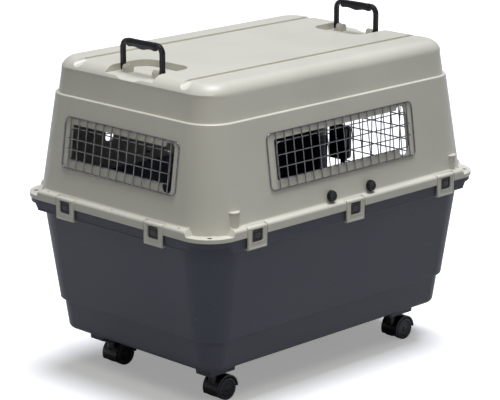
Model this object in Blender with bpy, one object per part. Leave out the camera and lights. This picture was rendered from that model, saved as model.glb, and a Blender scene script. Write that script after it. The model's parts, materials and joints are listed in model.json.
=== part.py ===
"""Wheeled pet travel crate: a moulded tub and shell, wire grilles and door, swivel casters.

Units are metres, +Z is up and the floor is Z = 0. The crate's length lies along Y, with the
door at the -Y end, and its width along X.
"""

import math

import bmesh
import bpy
from mathutils import Matrix, Vector

# Body, from floor to roof
RIM_LENGTH = 1.040
RIM_WIDTH = 0.727
RIM_CORNER = 0.087
PARTING = 0.4905
ROOF_TOP = 0.845
SHOULDER_DROP = 0.093
SHOULDER_STEP = 0.0075
STEP_HEIGHT = 0.195
STEP_DEPTH = 0.010
UNDERSIDE = 0.102
UNDERSIDE_ROUND = 0.016
ROOF_ROUND = 0.036
WALL = 0.004
WALL_SET_IN = 0.0172
WALL_CORNER = 0.108
SHELL_DRAFT = 0.1385
SHELL_CORNER_DRAFT = 0.095
TUB_DRAFT = 0.1394
TUB_CORNER_DRAFT = 0.125
GAP = 0.0003

# Rim of the shell, which laps over the flange of the tub
RIM_SKIRT = 0.016
RIM_THICKNESS = 0.0027
RIM_CROWN = 0.0085
FLANGE_DROP = 0.044
FLANGE_THICKNESS = 0.0035
CORNER_DROP = 0.0145
CORNER_SKIRT_RISE = 0.0155
LEDGE_REACH = 0.083
LEDGE_CURVE = 0.008
TIE_HOLE = 0.013
RIM_BOLT_HOLE = 0.005
RIM_BOLT_SET_IN = 0.1185

# Roof: two channels along the sides and a pocket for each handle
CHANNEL_SET_IN = 0.1705
CHANNEL_RADIUS = 0.0075
CHANNEL_DEPTH = 0.005
POCKET_DEPTH = 0.0175
POCKET_HALF_WIDTH = 0.088
POCKET_REACH = 0.093
POCKET_CORNER = 0.040
SCOOP_HALF_WIDTH = 0.052
SCOOP_SLOPE = 0.18
MOUTH_LENGTH = 0.115
MOUTH_RADIUS = 0.027
MOUTH_SHIFT = 0.008

# Carrying handles
HANDLE_SET_IN = 0.123
HANDLE_WIDTH = 0.157
HANDLE_RISE = 0.072
HANDLE_BAR = 0.012
HANDLE_CORNER = 0.026
PIVOT_HEIGHT = 0.010
PIVOT_PIN = 0.008
PIVOT_PLAY = 0.0005
BOSS_WIDTH = 0.022
BOSS_RADIUS = 0.0095
GRIP_LENGTH = 0.104
GRIP_HEIGHT = 0.026
GRIP_DEPTH = 0.019
GRIP_WAVE = 0.003
GRIP_HOLLOWS = 2
GRIP_BELLY = 0.003

# Window grilles
WIRE = 0.0032
FRAME_WIRE = 0.0036
WELD = 0.0006
FRAME_CORNER = 0.015
RING_CORNER = 0.012
WINDOW_CORNER = 0.004
SLOT_CORNER = 0.012

# Each window: widths run along the wall and heights are above the parting line
SIDE_WINDOW = dict(
    frame_width=0.543, frame_centre=-0.0085, frame_low=0.075, frame_high=0.216,
    open_left=-0.253, open_right=0.235, open_low=0.0975, open_high=0.1995,
    slot_width=0.031, slot_low=0.0815, slot_high=0.2095, ring_low=0.0995, ring_high=0.1915,
    columns=17, column_pitch=0.0306, first_column=-0.2505,
)
REAR_WINDOW = dict(
    frame_width=0.422, frame_centre=0.004, frame_low=0.0795, frame_high=0.2105,
    open_left=-0.180, open_right=0.198, open_low=0.1025, open_high=0.1935,
    slot_width=0.033, slot_low=0.0825, slot_high=0.2055, ring_low=0.1045, ring_high=0.1855,
    columns=13, column_pitch=0.0310, first_column=-0.182,
)

# Doorway and door
DOOR_COLUMNS = 12
DOOR_PITCH = 0.0345
DOOR_ROWS = 15
DOOR_ROW_PITCH = 0.0335
DOOR_LOW = 0.229
DOOR_WIRE = 0.0036
DOOR_ROD = 0.005
DOOR_SET_IN = 0.012
DOOR_GAP = 0.008
HINGE_GAP = 0.0135
PIN_REACH = 0.009
PIN_PLAY = 0.0006
BAY_SET_IN = 0.0195
BAY_BORDER = 0.036
BAY_CORNER = 0.034
BAY_FLARE = 0.016
BAY_REACH = 0.070
JAMB_BORDER = 0.013
JAMB_DEPTH = 0.032
DOORWAY_CORNER = 0.012

# Door latch: a front housing and a back plate with two lock bars between them
LATCH_PLACE = 0.140
LATCH_WIDTH = 0.063
LATCH_HEIGHT = 0.095
LATCH_THICKNESS = 0.014
LATCH_WALL = 0.006
BACK_PLATE = 0.008
LOCK_TRAVEL = 0.010
LOCK_ROD = 0.005
LOCK_GRIP = 0.012
LOCK_TIP_GAP = 0.0015

# Rim latches: a sliding clip with a push button in its window
CLIP_WIDTH = 0.065
CLIP_SLOT = 0.005
CLIP_PROUD = 0.003
CLIP_BOTTOM = 0.0055
CLIP_HOOK = 0.012
CLIP_REACH = 0.0125
BUTTON_WIDTH = 0.035
BUTTON_HEIGHT = 0.0285
BUTTON_DROP = 0.0010
BUTTON_PLAY = 0.0004
BUTTON_THICKNESS = 0.0038
BUTTON_INSET = 0.0012
REAR_LATCH_SET_IN = 0.1975
SIDE_LATCH_SET_IN = 0.163

# Knobs and strap hooks on the long walls
KNOB_PLACE = 0.074
KNOB_RISE = 0.027
KNOB_RADIUS = 0.0145
KNOB_FLUTE = 0.0018
KNOB_FLUTES = 8
KNOB_STAND_OFF = 0.0035
KNOB_THICKNESS = 0.011
KNOB_STUD = 0.006
KNOB_STUD_REACH = 0.008
HOOK_SET_IN = 0.110
HOOK_SINK = 0.005
HOOK_RADIUS = 0.0165
HOOK_RISE = 0.050
HOOK_LIP = 0.0045

# Casters
CASTER_SIDE_SET_IN = 0.1703
CASTER_END_SET_IN = 0.1759
PAD_TOP_LENGTH = 0.092
PAD_TOP_WIDTH = 0.055
PAD_TOP_SHIFT = 0.009
PAD_TOP_BOTTOM = 0.080
PAD_LENGTH = 0.062
PAD_WIDTH = 0.044
PAD_BOTTOM = 0.073
WHEEL_RADIUS = 0.030
WHEEL_WIDTH = 0.019
WHEEL_FACETS = 14
CASTER_TRAIL = 0.026
WEB_THICKNESS = 0.016
WHEEL_PLAY = 0.0004
HOOD_CLEARANCE = 0.0025
HOOD_WALL = 0.0045
HOOD_FRONT = -25.0
HOOD_BACK = 178.0
BOSS_DIAMETER = 0.024
STEM_PEG = 0.010
STEM_PEG_REACH = 0.021
STEM_PIN = 0.008
STEM_PIN_BOTTOM = 0.046
COLLAR_DIAMETER = 0.028
COLLAR_THICKNESS = 0.003
AXLE = 0.006
AXLE_PLAY = 0.0003

CORNER_STEPS = 5
OVERSHOOT = 0.02

SLOPE = math.sqrt(1 + SHELL_DRAFT**2)
RIM_TOP = PARTING + RIM_CROWN
SHOULDER = ROOF_TOP - SHOULDER_DROP
FLANGE_TOP = PARTING - GAP
FLANGE_LOW = FLANGE_TOP - FLANGE_DROP
FLANGE_OUT = RIM_THICKNESS + GAP
LEDGE_TOP = RIM_TOP - CORNER_DROP
BAY_FACE = RIM_LENGTH / 2 - BAY_SET_IN
DOOR_PLANE = BAY_FACE - DOOR_SET_IN
LATCH_MIDDLE = DOOR_LOW + DOOR_ROW_PITCH * DOOR_ROWS / 2
HANDLE_PLACE = RIM_LENGTH / 2 - HANDLE_SET_IN
HANDLE_TOP = ROOF_TOP + HANDLE_RISE
POCKET_BACK = HANDLE_PLACE - POCKET_REACH
CHANNEL_PLACE = RIM_WIDTH / 2 - CHANNEL_SET_IN
RIM_BOLT_PLACE = RIM_WIDTH / 2 - RIM_BOLT_SET_IN
REAR_LATCH_PLACE = RIM_WIDTH / 2 - REAR_LATCH_SET_IN
SIDE_LATCH_PLACE = RIM_LENGTH / 2 - SIDE_LATCH_SET_IN
HOOK_PLACE = RIM_LENGTH / 2 - HOOK_SET_IN
HOOK_TOP = PARTING + HOOK_RISE
CASTER_X = RIM_WIDTH / 2 - CASTER_SIDE_SET_IN
CASTER_Y = RIM_LENGTH / 2 - CASTER_END_SET_IN


def clear_scene():
    for obj in list(bpy.data.objects):
        bpy.data.objects.remove(obj, do_unlink=True)


def make_material(name, colour, roughness, metallic=0.0):
    finish = bpy.data.materials.new(name)
    finish.use_nodes = True
    shader = finish.node_tree.nodes["Principled BSDF"]
    shader.inputs["Base Color"].default_value = (*colour, 1.0)
    shader.inputs["Roughness"].default_value = roughness
    shader.inputs["Metallic"].default_value = metallic
    finish.diffuse_color = (*colour, 1.0)
    return finish


def add_object(name, bm, finish=None, matrix=None):
    """Makes an object of a bmesh, with its faces turned outwards."""
    bmesh.ops.recalc_face_normals(bm, faces=bm.faces)
    mesh = bpy.data.meshes.new(name)
    bm.to_mesh(mesh)
    bm.free()
    obj = bpy.data.objects.new(name, mesh)
    bpy.context.scene.collection.objects.link(obj)
    if finish:
        mesh.materials.append(finish)
    if matrix is not None:
        obj.matrix_world = matrix
    return obj


def combine(target, tool, operation):
    """Applies a Boolean with the tool to the target, and removes the tool."""
    cut = target.modifiers.new(operation.lower(), "BOOLEAN")
    cut.operation = operation
    cut.object = tool
    graph = bpy.context.evaluated_depsgraph_get()
    mesh = bpy.data.meshes.new_from_object(target.evaluated_get(graph))
    target.modifiers.clear()
    old = target.data
    target.data = mesh
    mesh.name = old.name
    bpy.data.meshes.remove(old)
    used = tool.data
    bpy.data.objects.remove(tool)
    if used.users == 0:
        bpy.data.meshes.remove(used)
    return target


def cut(target, *tools):
    for tool in tools:
        combine(target, tool, "DIFFERENCE")
    return target


def join(target, *tools):
    for tool in tools:
        combine(target, tool, "UNION")
    return target


def keep(target, tool):
    return combine(target, tool, "INTERSECT")


def tidy(obj):
    """Merges the flat faces that the Booleans have split."""
    bm = bmesh.new()
    bm.from_mesh(obj.data)
    bmesh.ops.dissolve_limit(bm, angle_limit=math.radians(0.2), verts=bm.verts, edges=bm.edges)
    bm.to_mesh(obj.data)
    bm.free()
    return obj


def smooth(obj, degrees=32):
    obj.data.shade_smooth()
    obj.data.set_sharp_from_angle(angle=math.radians(degrees))
    return obj


def arc(centre_u, centre_v, radius, start, end, steps):
    """Points of an arc in degrees, both ends included."""
    angles = [math.radians(start + (end - start) * i / steps) for i in range(steps + 1)]
    return [(centre_u + radius * math.cos(a), centre_v + radius * math.sin(a)) for a in angles]


def rounded_outline(low_u, low_v, high_u, high_v, radius, steps=CORNER_STEPS):
    """Anticlockwise outline of a rounded rectangle."""
    points = arc(high_u - radius, high_v - radius, radius, 0, 90, steps)
    points += arc(low_u + radius, high_v - radius, radius, 90, 180, steps)
    points += arc(low_u + radius, low_v + radius, radius, 180, 270, steps)
    points += arc(high_u - radius, low_v + radius, radius, 270, 360, steps)
    return points


def loft(rings):
    """Closed skin through rings of equal count, with a flat face at each end."""
    bm = bmesh.new()
    rows = [[bm.verts.new(point) for point in ring] for ring in rings]
    for below, above in zip(rows, rows[1:]):
        count = len(below)
        for i in range(count):
            after = (i + 1) % count
            bm.faces.new((below[i], below[after], above[after], above[i]))
    bm.faces.new(rows[0])
    bm.faces.new(rows[-1])
    return bm


def loft_object(name, rings, finish=None, matrix=None):
    return add_object(name, loft(rings), finish, matrix)


def prism(name, outline, low, high, place, finish=None, matrix=None):
    """An outline swept from low to high; place(u, v, w) turns plane points into space."""
    rings = [[place(u, v, w) for u, v in outline] for w in (low, high)]
    return loft_object(name, rings, finish, matrix)


def flat_place(u, v, w):
    """Outline in plan, swept upwards."""
    return Vector((u, v, w))


def end_place(u, v, w):
    """Outline seen along the crate: u is X, v is Z, swept along Y."""
    return Vector((u, w, v))


def side_place(u, v, w):
    """Outline seen from the side: u is Y, v is Z, swept along X."""
    return Vector((w, u, v))


def box(name, low, high, finish=None, matrix=None):
    outline = [(low[0], low[1]), (high[0], low[1]), (high[0], high[1]), (low[0], high[1])]
    return prism(name, outline, low[2], high[2], flat_place, finish, matrix)


def turned(name, profile, facets, finish=None, matrix=None, turn=0.0):
    """Solid of revolution about local Z; profile is (radius, z) from one pole to the other."""
    bm = bmesh.new()
    rows = []
    for radius, z in profile:
        if radius == 0:
            rows.append([bm.verts.new((0, 0, z))])
            continue
        angles = [turn + 2 * math.pi * i / facets for i in range(facets)]
        rows.append([bm.verts.new((radius * math.cos(a), radius * math.sin(a), z)) for a in angles])
    for below, above in zip(rows, rows[1:]):
        for i in range(facets):
            after = (i + 1) % facets
            corners = [below[i % len(below)], below[after % len(below)]]
            corners += [above[after % len(above)], above[i % len(above)]]
            corners = [v for n, v in enumerate(corners) if v not in corners[:n]]
            bm.faces.new(corners)
    return add_object(name, bm, finish, matrix)


def rod(name, radius, start, end, facets=8, finish=None, turn=0.0):
    """A round bar between two points."""
    start = Vector(start)
    along = Vector(end) - start
    matrix = Matrix.Translation(start) @ along.to_track_quat("Z", "Y").to_matrix().to_4x4()
    profile = [(0, 0), (radius, 0), (radius, along.length), (0, along.length)]
    return turned(name, profile, facets, finish, matrix, turn)


def add_wire(bm, path, normal, radius, closed=False):
    """Sweeps a four-sided wire with an edge towards the plane's normal, mitred at its bends."""
    count = len(path)
    rings = []
    for i, point in enumerate(path):
        before = path[i - 1] if closed or i > 0 else None
        after = path[(i + 1) % count] if closed or i < count - 1 else None
        arriving = (point - before).normalized() if before is not None else None
        leaving = (after - point).normalized() if after is not None else None
        arriving = arriving or leaving
        leaving = leaving or arriving
        tangent = (arriving + leaving).normalized()
        across = tangent.cross(normal) / max(tangent.dot(leaving), 0.5)
        offsets = (normal, across, -normal, -across)
        rings.append([bm.verts.new(point + offset * radius) for offset in offsets])
    pairs = list(zip(rings, rings[1:]))
    if closed:
        pairs.append((rings[-1], rings[0]))
    for below, above in pairs:
        for i in range(4):
            after = (i + 1) % 4
            bm.faces.new((below[i], below[after], above[after], above[i]))
    if not closed:
        bm.faces.new(rings[0])
        bm.faces.new(rings[-1])


def wall_matrix(side):
    """Frame of a shell wall: u to the viewer's right, v up the slope, w outwards."""
    right, out, reach = {
        "left": (Vector((0, -1, 0)), Vector((-1, 0, 0)), RIM_WIDTH / 2),
        "right": (Vector((0, 1, 0)), Vector((1, 0, 0)), RIM_WIDTH / 2),
        "rear": (Vector((-1, 0, 0)), Vector((0, 1, 0)), RIM_LENGTH / 2),
        "front": (Vector((1, 0, 0)), Vector((0, -1, 0)), RIM_LENGTH / 2),
    }[side]
    up = (Vector((0, 0, 1)) - out * SHELL_DRAFT).normalized()
    normal = (out + Vector((0, 0, SHELL_DRAFT))).normalized()
    origin = out * (reach - WALL_SET_IN) + Vector((0, 0, PARTING))
    matrix = Matrix((right, up, normal)).transposed().to_4x4()
    matrix.translation = origin
    return matrix


def rim_matrix(side):
    """Frame of a rim side: u to the viewer's right, v up, w outwards from the rim's face."""
    right, out, reach = {
        "left": (Vector((0, -1, 0)), Vector((-1, 0, 0)), RIM_WIDTH / 2),
        "right": (Vector((0, 1, 0)), Vector((1, 0, 0)), RIM_WIDTH / 2),
        "rear": (Vector((-1, 0, 0)), Vector((0, 1, 0)), RIM_LENGTH / 2),
    }[side]
    matrix = Matrix((right, Vector((0, 0, 1)), out)).transposed().to_4x4()
    matrix.translation = out * reach
    return matrix


def slope_height(rise):
    """Distance up the wall's slope of a height above the parting line."""
    return rise * SLOPE


def shell_section(height, inset=0.0, set_in=WALL_SET_IN):
    """Plan outline of the shell's wall at a height."""
    rise = height - PARTING
    shrink = set_in + SHELL_DRAFT * rise + inset
    half_x = RIM_WIDTH / 2 - shrink
    half_y = RIM_LENGTH / 2 - shrink
    radius = max(WALL_CORNER - SHELL_CORNER_DRAFT * rise - inset, 0.01)
    return [(u, v, height) for u, v in rounded_outline(-half_x, -half_y, half_x, half_y, radius)]


def tub_section(height, inset=0.0):
    """Plan outline of the tub's wall at a height."""
    fall = PARTING - height
    shrink = WALL_SET_IN + TUB_DRAFT * fall + inset
    half_x = RIM_WIDTH / 2 - shrink
    half_y = RIM_LENGTH / 2 - shrink
    radius = max(WALL_CORNER - TUB_CORNER_DRAFT * fall - inset, 0.01)
    return [(u, v, height) for u, v in rounded_outline(-half_x, -half_y, half_x, half_y, radius)]


def rim_section(height, inset=0.0):
    """Plan outline of the rim, whose corners stand out past the walls."""
    half_x = RIM_WIDTH / 2 - inset
    half_y = RIM_LENGTH / 2 - inset
    radius = RIM_CORNER - inset
    return [(u, v, height) for u, v in rounded_outline(-half_x, -half_y, half_x, half_y, radius)]


def corner_blocks(levels):
    """Four blocks over the rim's corners; each level is a height and how far out its faces go."""
    blocks = []
    for sign_x in (-1, 1):
        for sign_y in (-1, 1):
            rings = []
            for height, spread in levels:
                near_x = sign_x * (RIM_WIDTH / 2 - LEDGE_REACH + spread)
                near_y = sign_y * (RIM_LENGTH / 2 - LEDGE_REACH + spread)
                far_x = sign_x * (RIM_WIDTH / 2 + OVERSHOOT)
                far_y = sign_y * (RIM_LENGTH / 2 + OVERSHOOT)
                ring = [(near_x, near_y), (far_x, near_y), (far_x, far_y), (near_x, far_y)]
                rings.append([(u, v, height) for u, v in ring])
            blocks.append(loft_object("corner", rings))
    return blocks


def ledge_blocks(bottom, offset):
    """Blocks over the corner ledges, whose curved step lies further in by the offset."""
    levels = [
        (bottom, -offset),
        (LEDGE_TOP, -offset),
        (LEDGE_TOP + CORNER_DROP * 0.2, -offset - LEDGE_CURVE * 0.25),
        (LEDGE_TOP + CORNER_DROP * 0.76, -offset - LEDGE_CURVE * 0.7),
        (RIM_TOP, -offset - LEDGE_CURVE),
        (RIM_TOP + 2 * OVERSHOOT, -offset - LEDGE_CURVE * 1.2),
    ]
    return corner_blocks([level for level in levels if level[0] > bottom or level is levels[0]])


def tie_holes():
    """Cutters for the hole in the middle of each corner ledge, on the diagonal."""
    bulge = 1 - math.sqrt(0.5)
    middle = (WALL_SET_IN + bulge * (WALL_CORNER + RIM_CORNER)) / 2
    place_x = RIM_WIDTH / 2 - middle
    place_y = RIM_LENGTH / 2 - middle
    for sign_x in (-1, 1):
        for sign_y in (-1, 1):
            foot = Vector((sign_x * place_x, sign_y * place_y, FLANGE_LOW - OVERSHOOT))
            yield rod("tie_hole", TIE_HOLE / 2, foot, foot + Vector((0, 0, 0.1)), 10)


def rim_bolt_holes():
    """Cutters for the bolt holes through the rim at the rear and beside the door."""
    place_y = RIM_LENGTH / 2 - WALL_SET_IN * 0.62
    spots = [(-RIM_BOLT_PLACE, place_y), (0.0, place_y), (RIM_BOLT_PLACE, place_y)]
    for x, y in spots:
        foot = Vector((x, y, FLANGE_LOW - OVERSHOOT))
        yield rod("bolt_hole", RIM_BOLT_HOLE / 2, foot, foot + Vector((0, 0, 0.1)), 6)


def doorway_limits():
    """Left, bottom, right and top of the door opening."""
    half = DOOR_PITCH * (DOOR_COLUMNS - 1) / 2
    high = DOOR_LOW + DOOR_ROW_PITCH * (DOOR_ROWS - 1)
    return -half - HINGE_GAP, DOOR_LOW - DOOR_GAP, half + DOOR_GAP, high + DOOR_GAP


def door_bay(inset=0.0):
    """The moulded surround that stands out round the doorway."""
    left, low, right, high = doorway_limits()
    rings = []
    for y, flare in ((-BAY_FACE + inset, 0.0), (-BAY_FACE + BAY_REACH, BAY_FLARE)):
        border = BAY_BORDER + flare - inset
        outline = rounded_outline(
            left - border, low - border, right + border, high + border, BAY_CORNER + flare - inset
        )
        rings.append([Vector((u, y, v)) for u, v in outline])
    return loft_object("bay", rings)


def half_space(low, high):
    reach = RIM_LENGTH
    return box("half_space", (-reach, -reach, low), (reach, reach, high))


def door_jamb():
    """The solid edge of the doorway, which holds the pins of the door."""
    left, low, right, high = doorway_limits()
    border = JAMB_BORDER
    outline = rounded_outline(
        left - border, low - border, right + border, high + border, DOORWAY_CORNER + border
    )
    return prism("jamb", outline, -BAY_FACE, -BAY_FACE + JAMB_DEPTH, end_place)


def doorway_cutter():
    left, low, right, high = doorway_limits()
    outline = rounded_outline(left, low, right, high, DOORWAY_CORNER)
    return prism("doorway", outline, -BAY_FACE - OVERSHOOT, -BAY_FACE + BAY_REACH, end_place)


def bay_trim():
    """Cuts the rim back to the face of the surround."""
    left, _, right, _ = doorway_limits()
    border = BAY_BORDER
    return box(
        "bay_trim",
        (left - border, -RIM_LENGTH / 2 - OVERSHOOT, FLANGE_LOW - OVERSHOOT),
        (right + border, -BAY_FACE, RIM_TOP + OVERSHOOT),
    )


def hinge_x():
    return -DOOR_PITCH * (DOOR_COLUMNS - 1) / 2


def lock_rod_y():
    return -(DOOR_PLANE + 1.5 * DOOR_WIRE - WELD + LOCK_ROD / 2 + 2 * GAP)


def pin_holes():
    """Cutters for the hinge pins and the lock bars, above and below the doorway."""
    _, low, _, high = doorway_limits()
    reach = LOCK_TRAVEL + LOCK_TIP_GAP
    spots = ((hinge_x(), -DOOR_PLANE, DOOR_ROD), (LATCH_PLACE, lock_rod_y(), LOCK_ROD))
    for x, y, diameter in spots:
        radius = diameter / 2 + PIN_PLAY
        yield rod("pin_hole", radius, (x, y, high - DOOR_GAP), (x, y, high + reach))
        yield rod("pin_hole", radius, (x, y, low - reach), (x, y, low + DOOR_GAP))


def latch_places():
    for u in (-REAR_LATCH_PLACE, REAR_LATCH_PLACE):
        yield "rear", u
    for side in ("left", "right"):
        for u in (-SIDE_LATCH_PLACE, 0.0, SIDE_LATCH_PLACE):
            yield side, u


def clip_notches():
    """Cutters that let the latch clips into the shell's rim, with room for their slide."""
    for side, u in latch_places():
        low_u = u - CLIP_WIDTH / 2 - GAP
        high_u = u + CLIP_WIDTH / 2 + GAP
        if side == "rear":
            low_u -= CLIP_SLOT
        else:
            high_u += CLIP_SLOT
        matrix = rim_matrix(side)
        floor = PARTING + RIM_THICKNESS
        yield box(
            "notch", (low_u, floor, -CLIP_REACH - GAP), (high_u, RIM_TOP + OVERSHOOT, OVERSHOOT),
            matrix=matrix,
        )
        yield box(
            "notch", (low_u, FLANGE_LOW - OVERSHOOT, -FLANGE_OUT), (high_u, RIM_TOP, OVERSHOOT),
            matrix=matrix,
        )


def button_wells():
    """Cutters through the tub's flange, into which the latch buttons travel."""
    for side, u in latch_places():
        slide = -CLIP_SLOT if side == "rear" else CLIP_SLOT
        edges = (u - BUTTON_WIDTH / 2, u + BUTTON_WIDTH / 2)
        low_u = min(edges) + min(slide, 0) - 2 * GAP
        high_u = max(edges) + max(slide, 0) + 2 * GAP
        high_v = PARTING - BUTTON_DROP
        low_v = high_v - BUTTON_HEIGHT
        yield box(
            "well",
            (low_u, low_v - 2 * GAP, -FLANGE_OUT - FLANGE_THICKNESS - OVERSHOOT / 4),
            (high_u, high_v + OVERSHOOT / 4, OVERSHOOT),
            matrix=rim_matrix(side),
        )


def window_cutters():
    """Cutters for the three windows: each opening ends in a taller slot."""
    walls = (("left", SIDE_WINDOW), ("right", SIDE_WINDOW), ("rear", REAR_WINDOW))
    for side, window in walls:
        matrix = wall_matrix(side)
        outlines = (
            rounded_outline(
                window["open_left"], slope_height(window["open_low"]),
                window["open_right"] - window["slot_width"] / 2, slope_height(window["open_high"]),
                WINDOW_CORNER, 2,
            ),
            rounded_outline(
                window["open_right"] - window["slot_width"], slope_height(window["slot_low"]),
                window["open_right"], slope_height(window["slot_high"]),
                SLOT_CORNER, 4,
            ),
        )
        for outline in outlines:
            yield prism("window", outline, -OVERSHOOT, OVERSHOOT, flat_place, matrix=matrix)


def pocket_shape(side, extra=0.0):
    """The handle pocket in one end of the roof, open towards that end."""
    steps = 3 if extra else 5
    floor = ROOF_TOP - POCKET_DEPTH - extra
    half = POCKET_HALF_WIDTH + extra
    back = POCKET_BACK - extra
    radius = POCKET_CORNER + extra
    far = RIM_LENGTH / 2
    outline = arc(half - radius, back + radius, radius, 0, -90, steps)
    outline += arc(-half + radius, back + radius, radius, -90, -180, steps)
    outline += [(-half, far), (half, far)]
    outline = [(u, side * v) for u, v in outline]
    pocket = prism("pocket", outline, floor, ROOF_TOP + OVERSHOOT, flat_place)
    return join(pocket, scoop_shape(side, floor, extra))


def scoop_shape(side, floor, extra):
    """The hollow that runs from under a handle down to the edge of the roof."""
    wide = SCOOP_HALF_WIDTH + extra
    flat = SCOOP_HALF_WIDTH * 0.38 + extra
    shares = ((0.0, 1.0), (0.25, 0.9), (0.5, 0.5), (0.75, 0.1), (1.0, 0.0))
    start = HANDLE_PLACE + BOSS_RADIUS
    rings = []
    for reach in (start, RIM_LENGTH / 2):
        depth = (reach - start) * SCOOP_SLOPE - 0.001
        right = [(flat + (wide - flat) * across, -depth * share) for across, share in shares]
        top = POCKET_DEPTH / 2
        points = right + [(wide, top), (-wide, top)] + [(-u, w) for u, w in reversed(right)]
        rings.append([Vector((u, side * reach, floor + w)) for u, w in points])
    return loft_object("scoop", rings)


def channel_shape(side, extra=0.0):
    """The groove along one side of the roof."""
    centre_z = ROOF_TOP + CHANNEL_RADIUS - CHANNEL_DEPTH
    reach = RIM_LENGTH / 2
    return rod(
        "channel",
        CHANNEL_RADIUS + extra,
        (side * CHANNEL_PLACE, -reach, centre_z),
        (side * CHANNEL_PLACE, reach, centre_z),
        8 if extra else 12,
    )


def channel_mouths(side, extra=0.0):
    """The flares at both ends of a groove, where it runs out over the edge of the roof."""
    facets = 8 if extra else 12
    centre_z = ROOF_TOP + CHANNEL_RADIUS - CHANNEL_DEPTH
    for way in (-1, 1):
        rings = []
        for share in (0.0, 0.52):
            radius = CHANNEL_RADIUS + (MOUTH_RADIUS - CHANNEL_RADIUS) * share / 0.52 + extra
            x = side * (CHANNEL_PLACE + MOUTH_SHIFT * share / 0.52)
            y = way * (RIM_LENGTH / 2 - MOUTH_LENGTH * (1 - share))
            angles = [2 * math.pi * (i + 0.5) / facets for i in range(facets)]
            rings.append([
                Vector((x + radius * math.cos(a), y, centre_z + radius * math.sin(a)))
                for a in angles
            ])
        yield loft_object("mouth", rings)


def handle_boss(side_x, side_y):
    """One of the lugs that carry a handle's pivot pin."""
    pivot_z = ROOF_TOP - POCKET_DEPTH + PIVOT_HEIGHT
    pivot_y = side_y * HANDLE_PLACE
    outline = arc(pivot_y, pivot_z, BOSS_RADIUS, 0, 180, 6)
    foot = ROOF_TOP - POCKET_DEPTH - WALL / 2
    outline += [(pivot_y - BOSS_RADIUS, foot), (pivot_y + BOSS_RADIUS, foot)]
    outer = HANDLE_WIDTH / 2 - HANDLE_BAR - PIVOT_PLAY
    return prism("boss", outline, side_x * outer, side_x * (outer - BOSS_WIDTH), side_place)


def boss_bores():
    """Cutters for the blind bores that take a handle's pivot pins."""
    pivot_z = ROOF_TOP - POCKET_DEPTH + PIVOT_HEIGHT
    for side_y in (-1, 1):
        for way in (-1, 1):
            outer = way * (HANDLE_WIDTH / 2 - HANDLE_BAR / 2)
            blind = way * (pin_tip() - PIVOT_PLAY)
            start = Vector((outer, side_y * HANDLE_PLACE, pivot_z))
            end = Vector((blind, side_y * HANDLE_PLACE, pivot_z))
            yield rod("bore", PIVOT_PIN / 2 + PIVOT_PLAY, start, end, 8)


def pin_tip():
    """Distance of a pivot pin's tip from the middle of its handle."""
    return HANDLE_WIDTH / 2 - HANDLE_BAR - PIVOT_PLAY - BOSS_WIDTH * 0.6


def strap_hook(side_x, place_y):
    """A half-round post against the long wall, with a lip on top."""
    wall_x = RIM_WIDTH / 2 - WALL_SET_IN - SHELL_DRAFT * (HOOK_TOP - PARTING)
    lip = HOOK_TOP - HOOK_LIP
    profile = [
        (0, PARTING + WALL), (HOOK_RADIUS * 0.86, PARTING + WALL),
        (HOOK_RADIUS * 0.86, lip - HOOK_LIP / 2), (HOOK_RADIUS, lip),
        (HOOK_RADIUS, HOOK_TOP - HOOK_LIP / 3), (HOOK_RADIUS * 0.9, HOOK_TOP), (0, HOOK_TOP),
    ]
    place = Matrix.Translation((side_x * (wall_x - HOOK_SINK), place_y, 0))
    return turned("hook", profile, 12, matrix=place, turn=0.1)


def knob_matrix(side, u):
    return wall_matrix(side) @ Matrix.Translation((u, slope_height(KNOB_RISE), 0))


def knob_places():
    for side in ("left", "right"):
        for u in (-KNOB_PLACE, KNOB_PLACE):
            yield side, u


def knob_holes():
    for side, u in knob_places():
        radius = KNOB_STUD / 2 + GAP
        profile = [(0, -OVERSHOOT), (radius, -OVERSHOOT), (radius, OVERSHOOT), (0, OVERSHOOT)]
        yield turned("knob_hole", profile, 8, matrix=knob_matrix(side, u))


def roof_rings(inset=0.0):
    """Outline of the shell from below the parting line up to the roof."""
    above = SHOULDER_STEP + inset
    roof = ROOF_TOP - inset
    spring = ROOF_TOP - ROOF_ROUND
    radius = ROOF_ROUND - inset
    rings = [
        shell_section(SHOULDER - 0.0015 - inset / 2, inset),
        shell_section(SHOULDER - inset / 2, 0.0015 + inset),
        shell_section(SHOULDER + 0.0008 - inset / 2, above),
        shell_section(spring, above),
    ]
    for step in range(1, 4):
        angle = math.radians(90 * step / 3)
        height = spring + radius * math.sin(angle)
        level = shell_section(spring, above + radius * (1 - math.cos(angle)))
        rings.append([(u, v, height) for u, v, _ in level])
    assert abs(rings[-1][0][2] - roof) < 1e-6
    return rings


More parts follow.
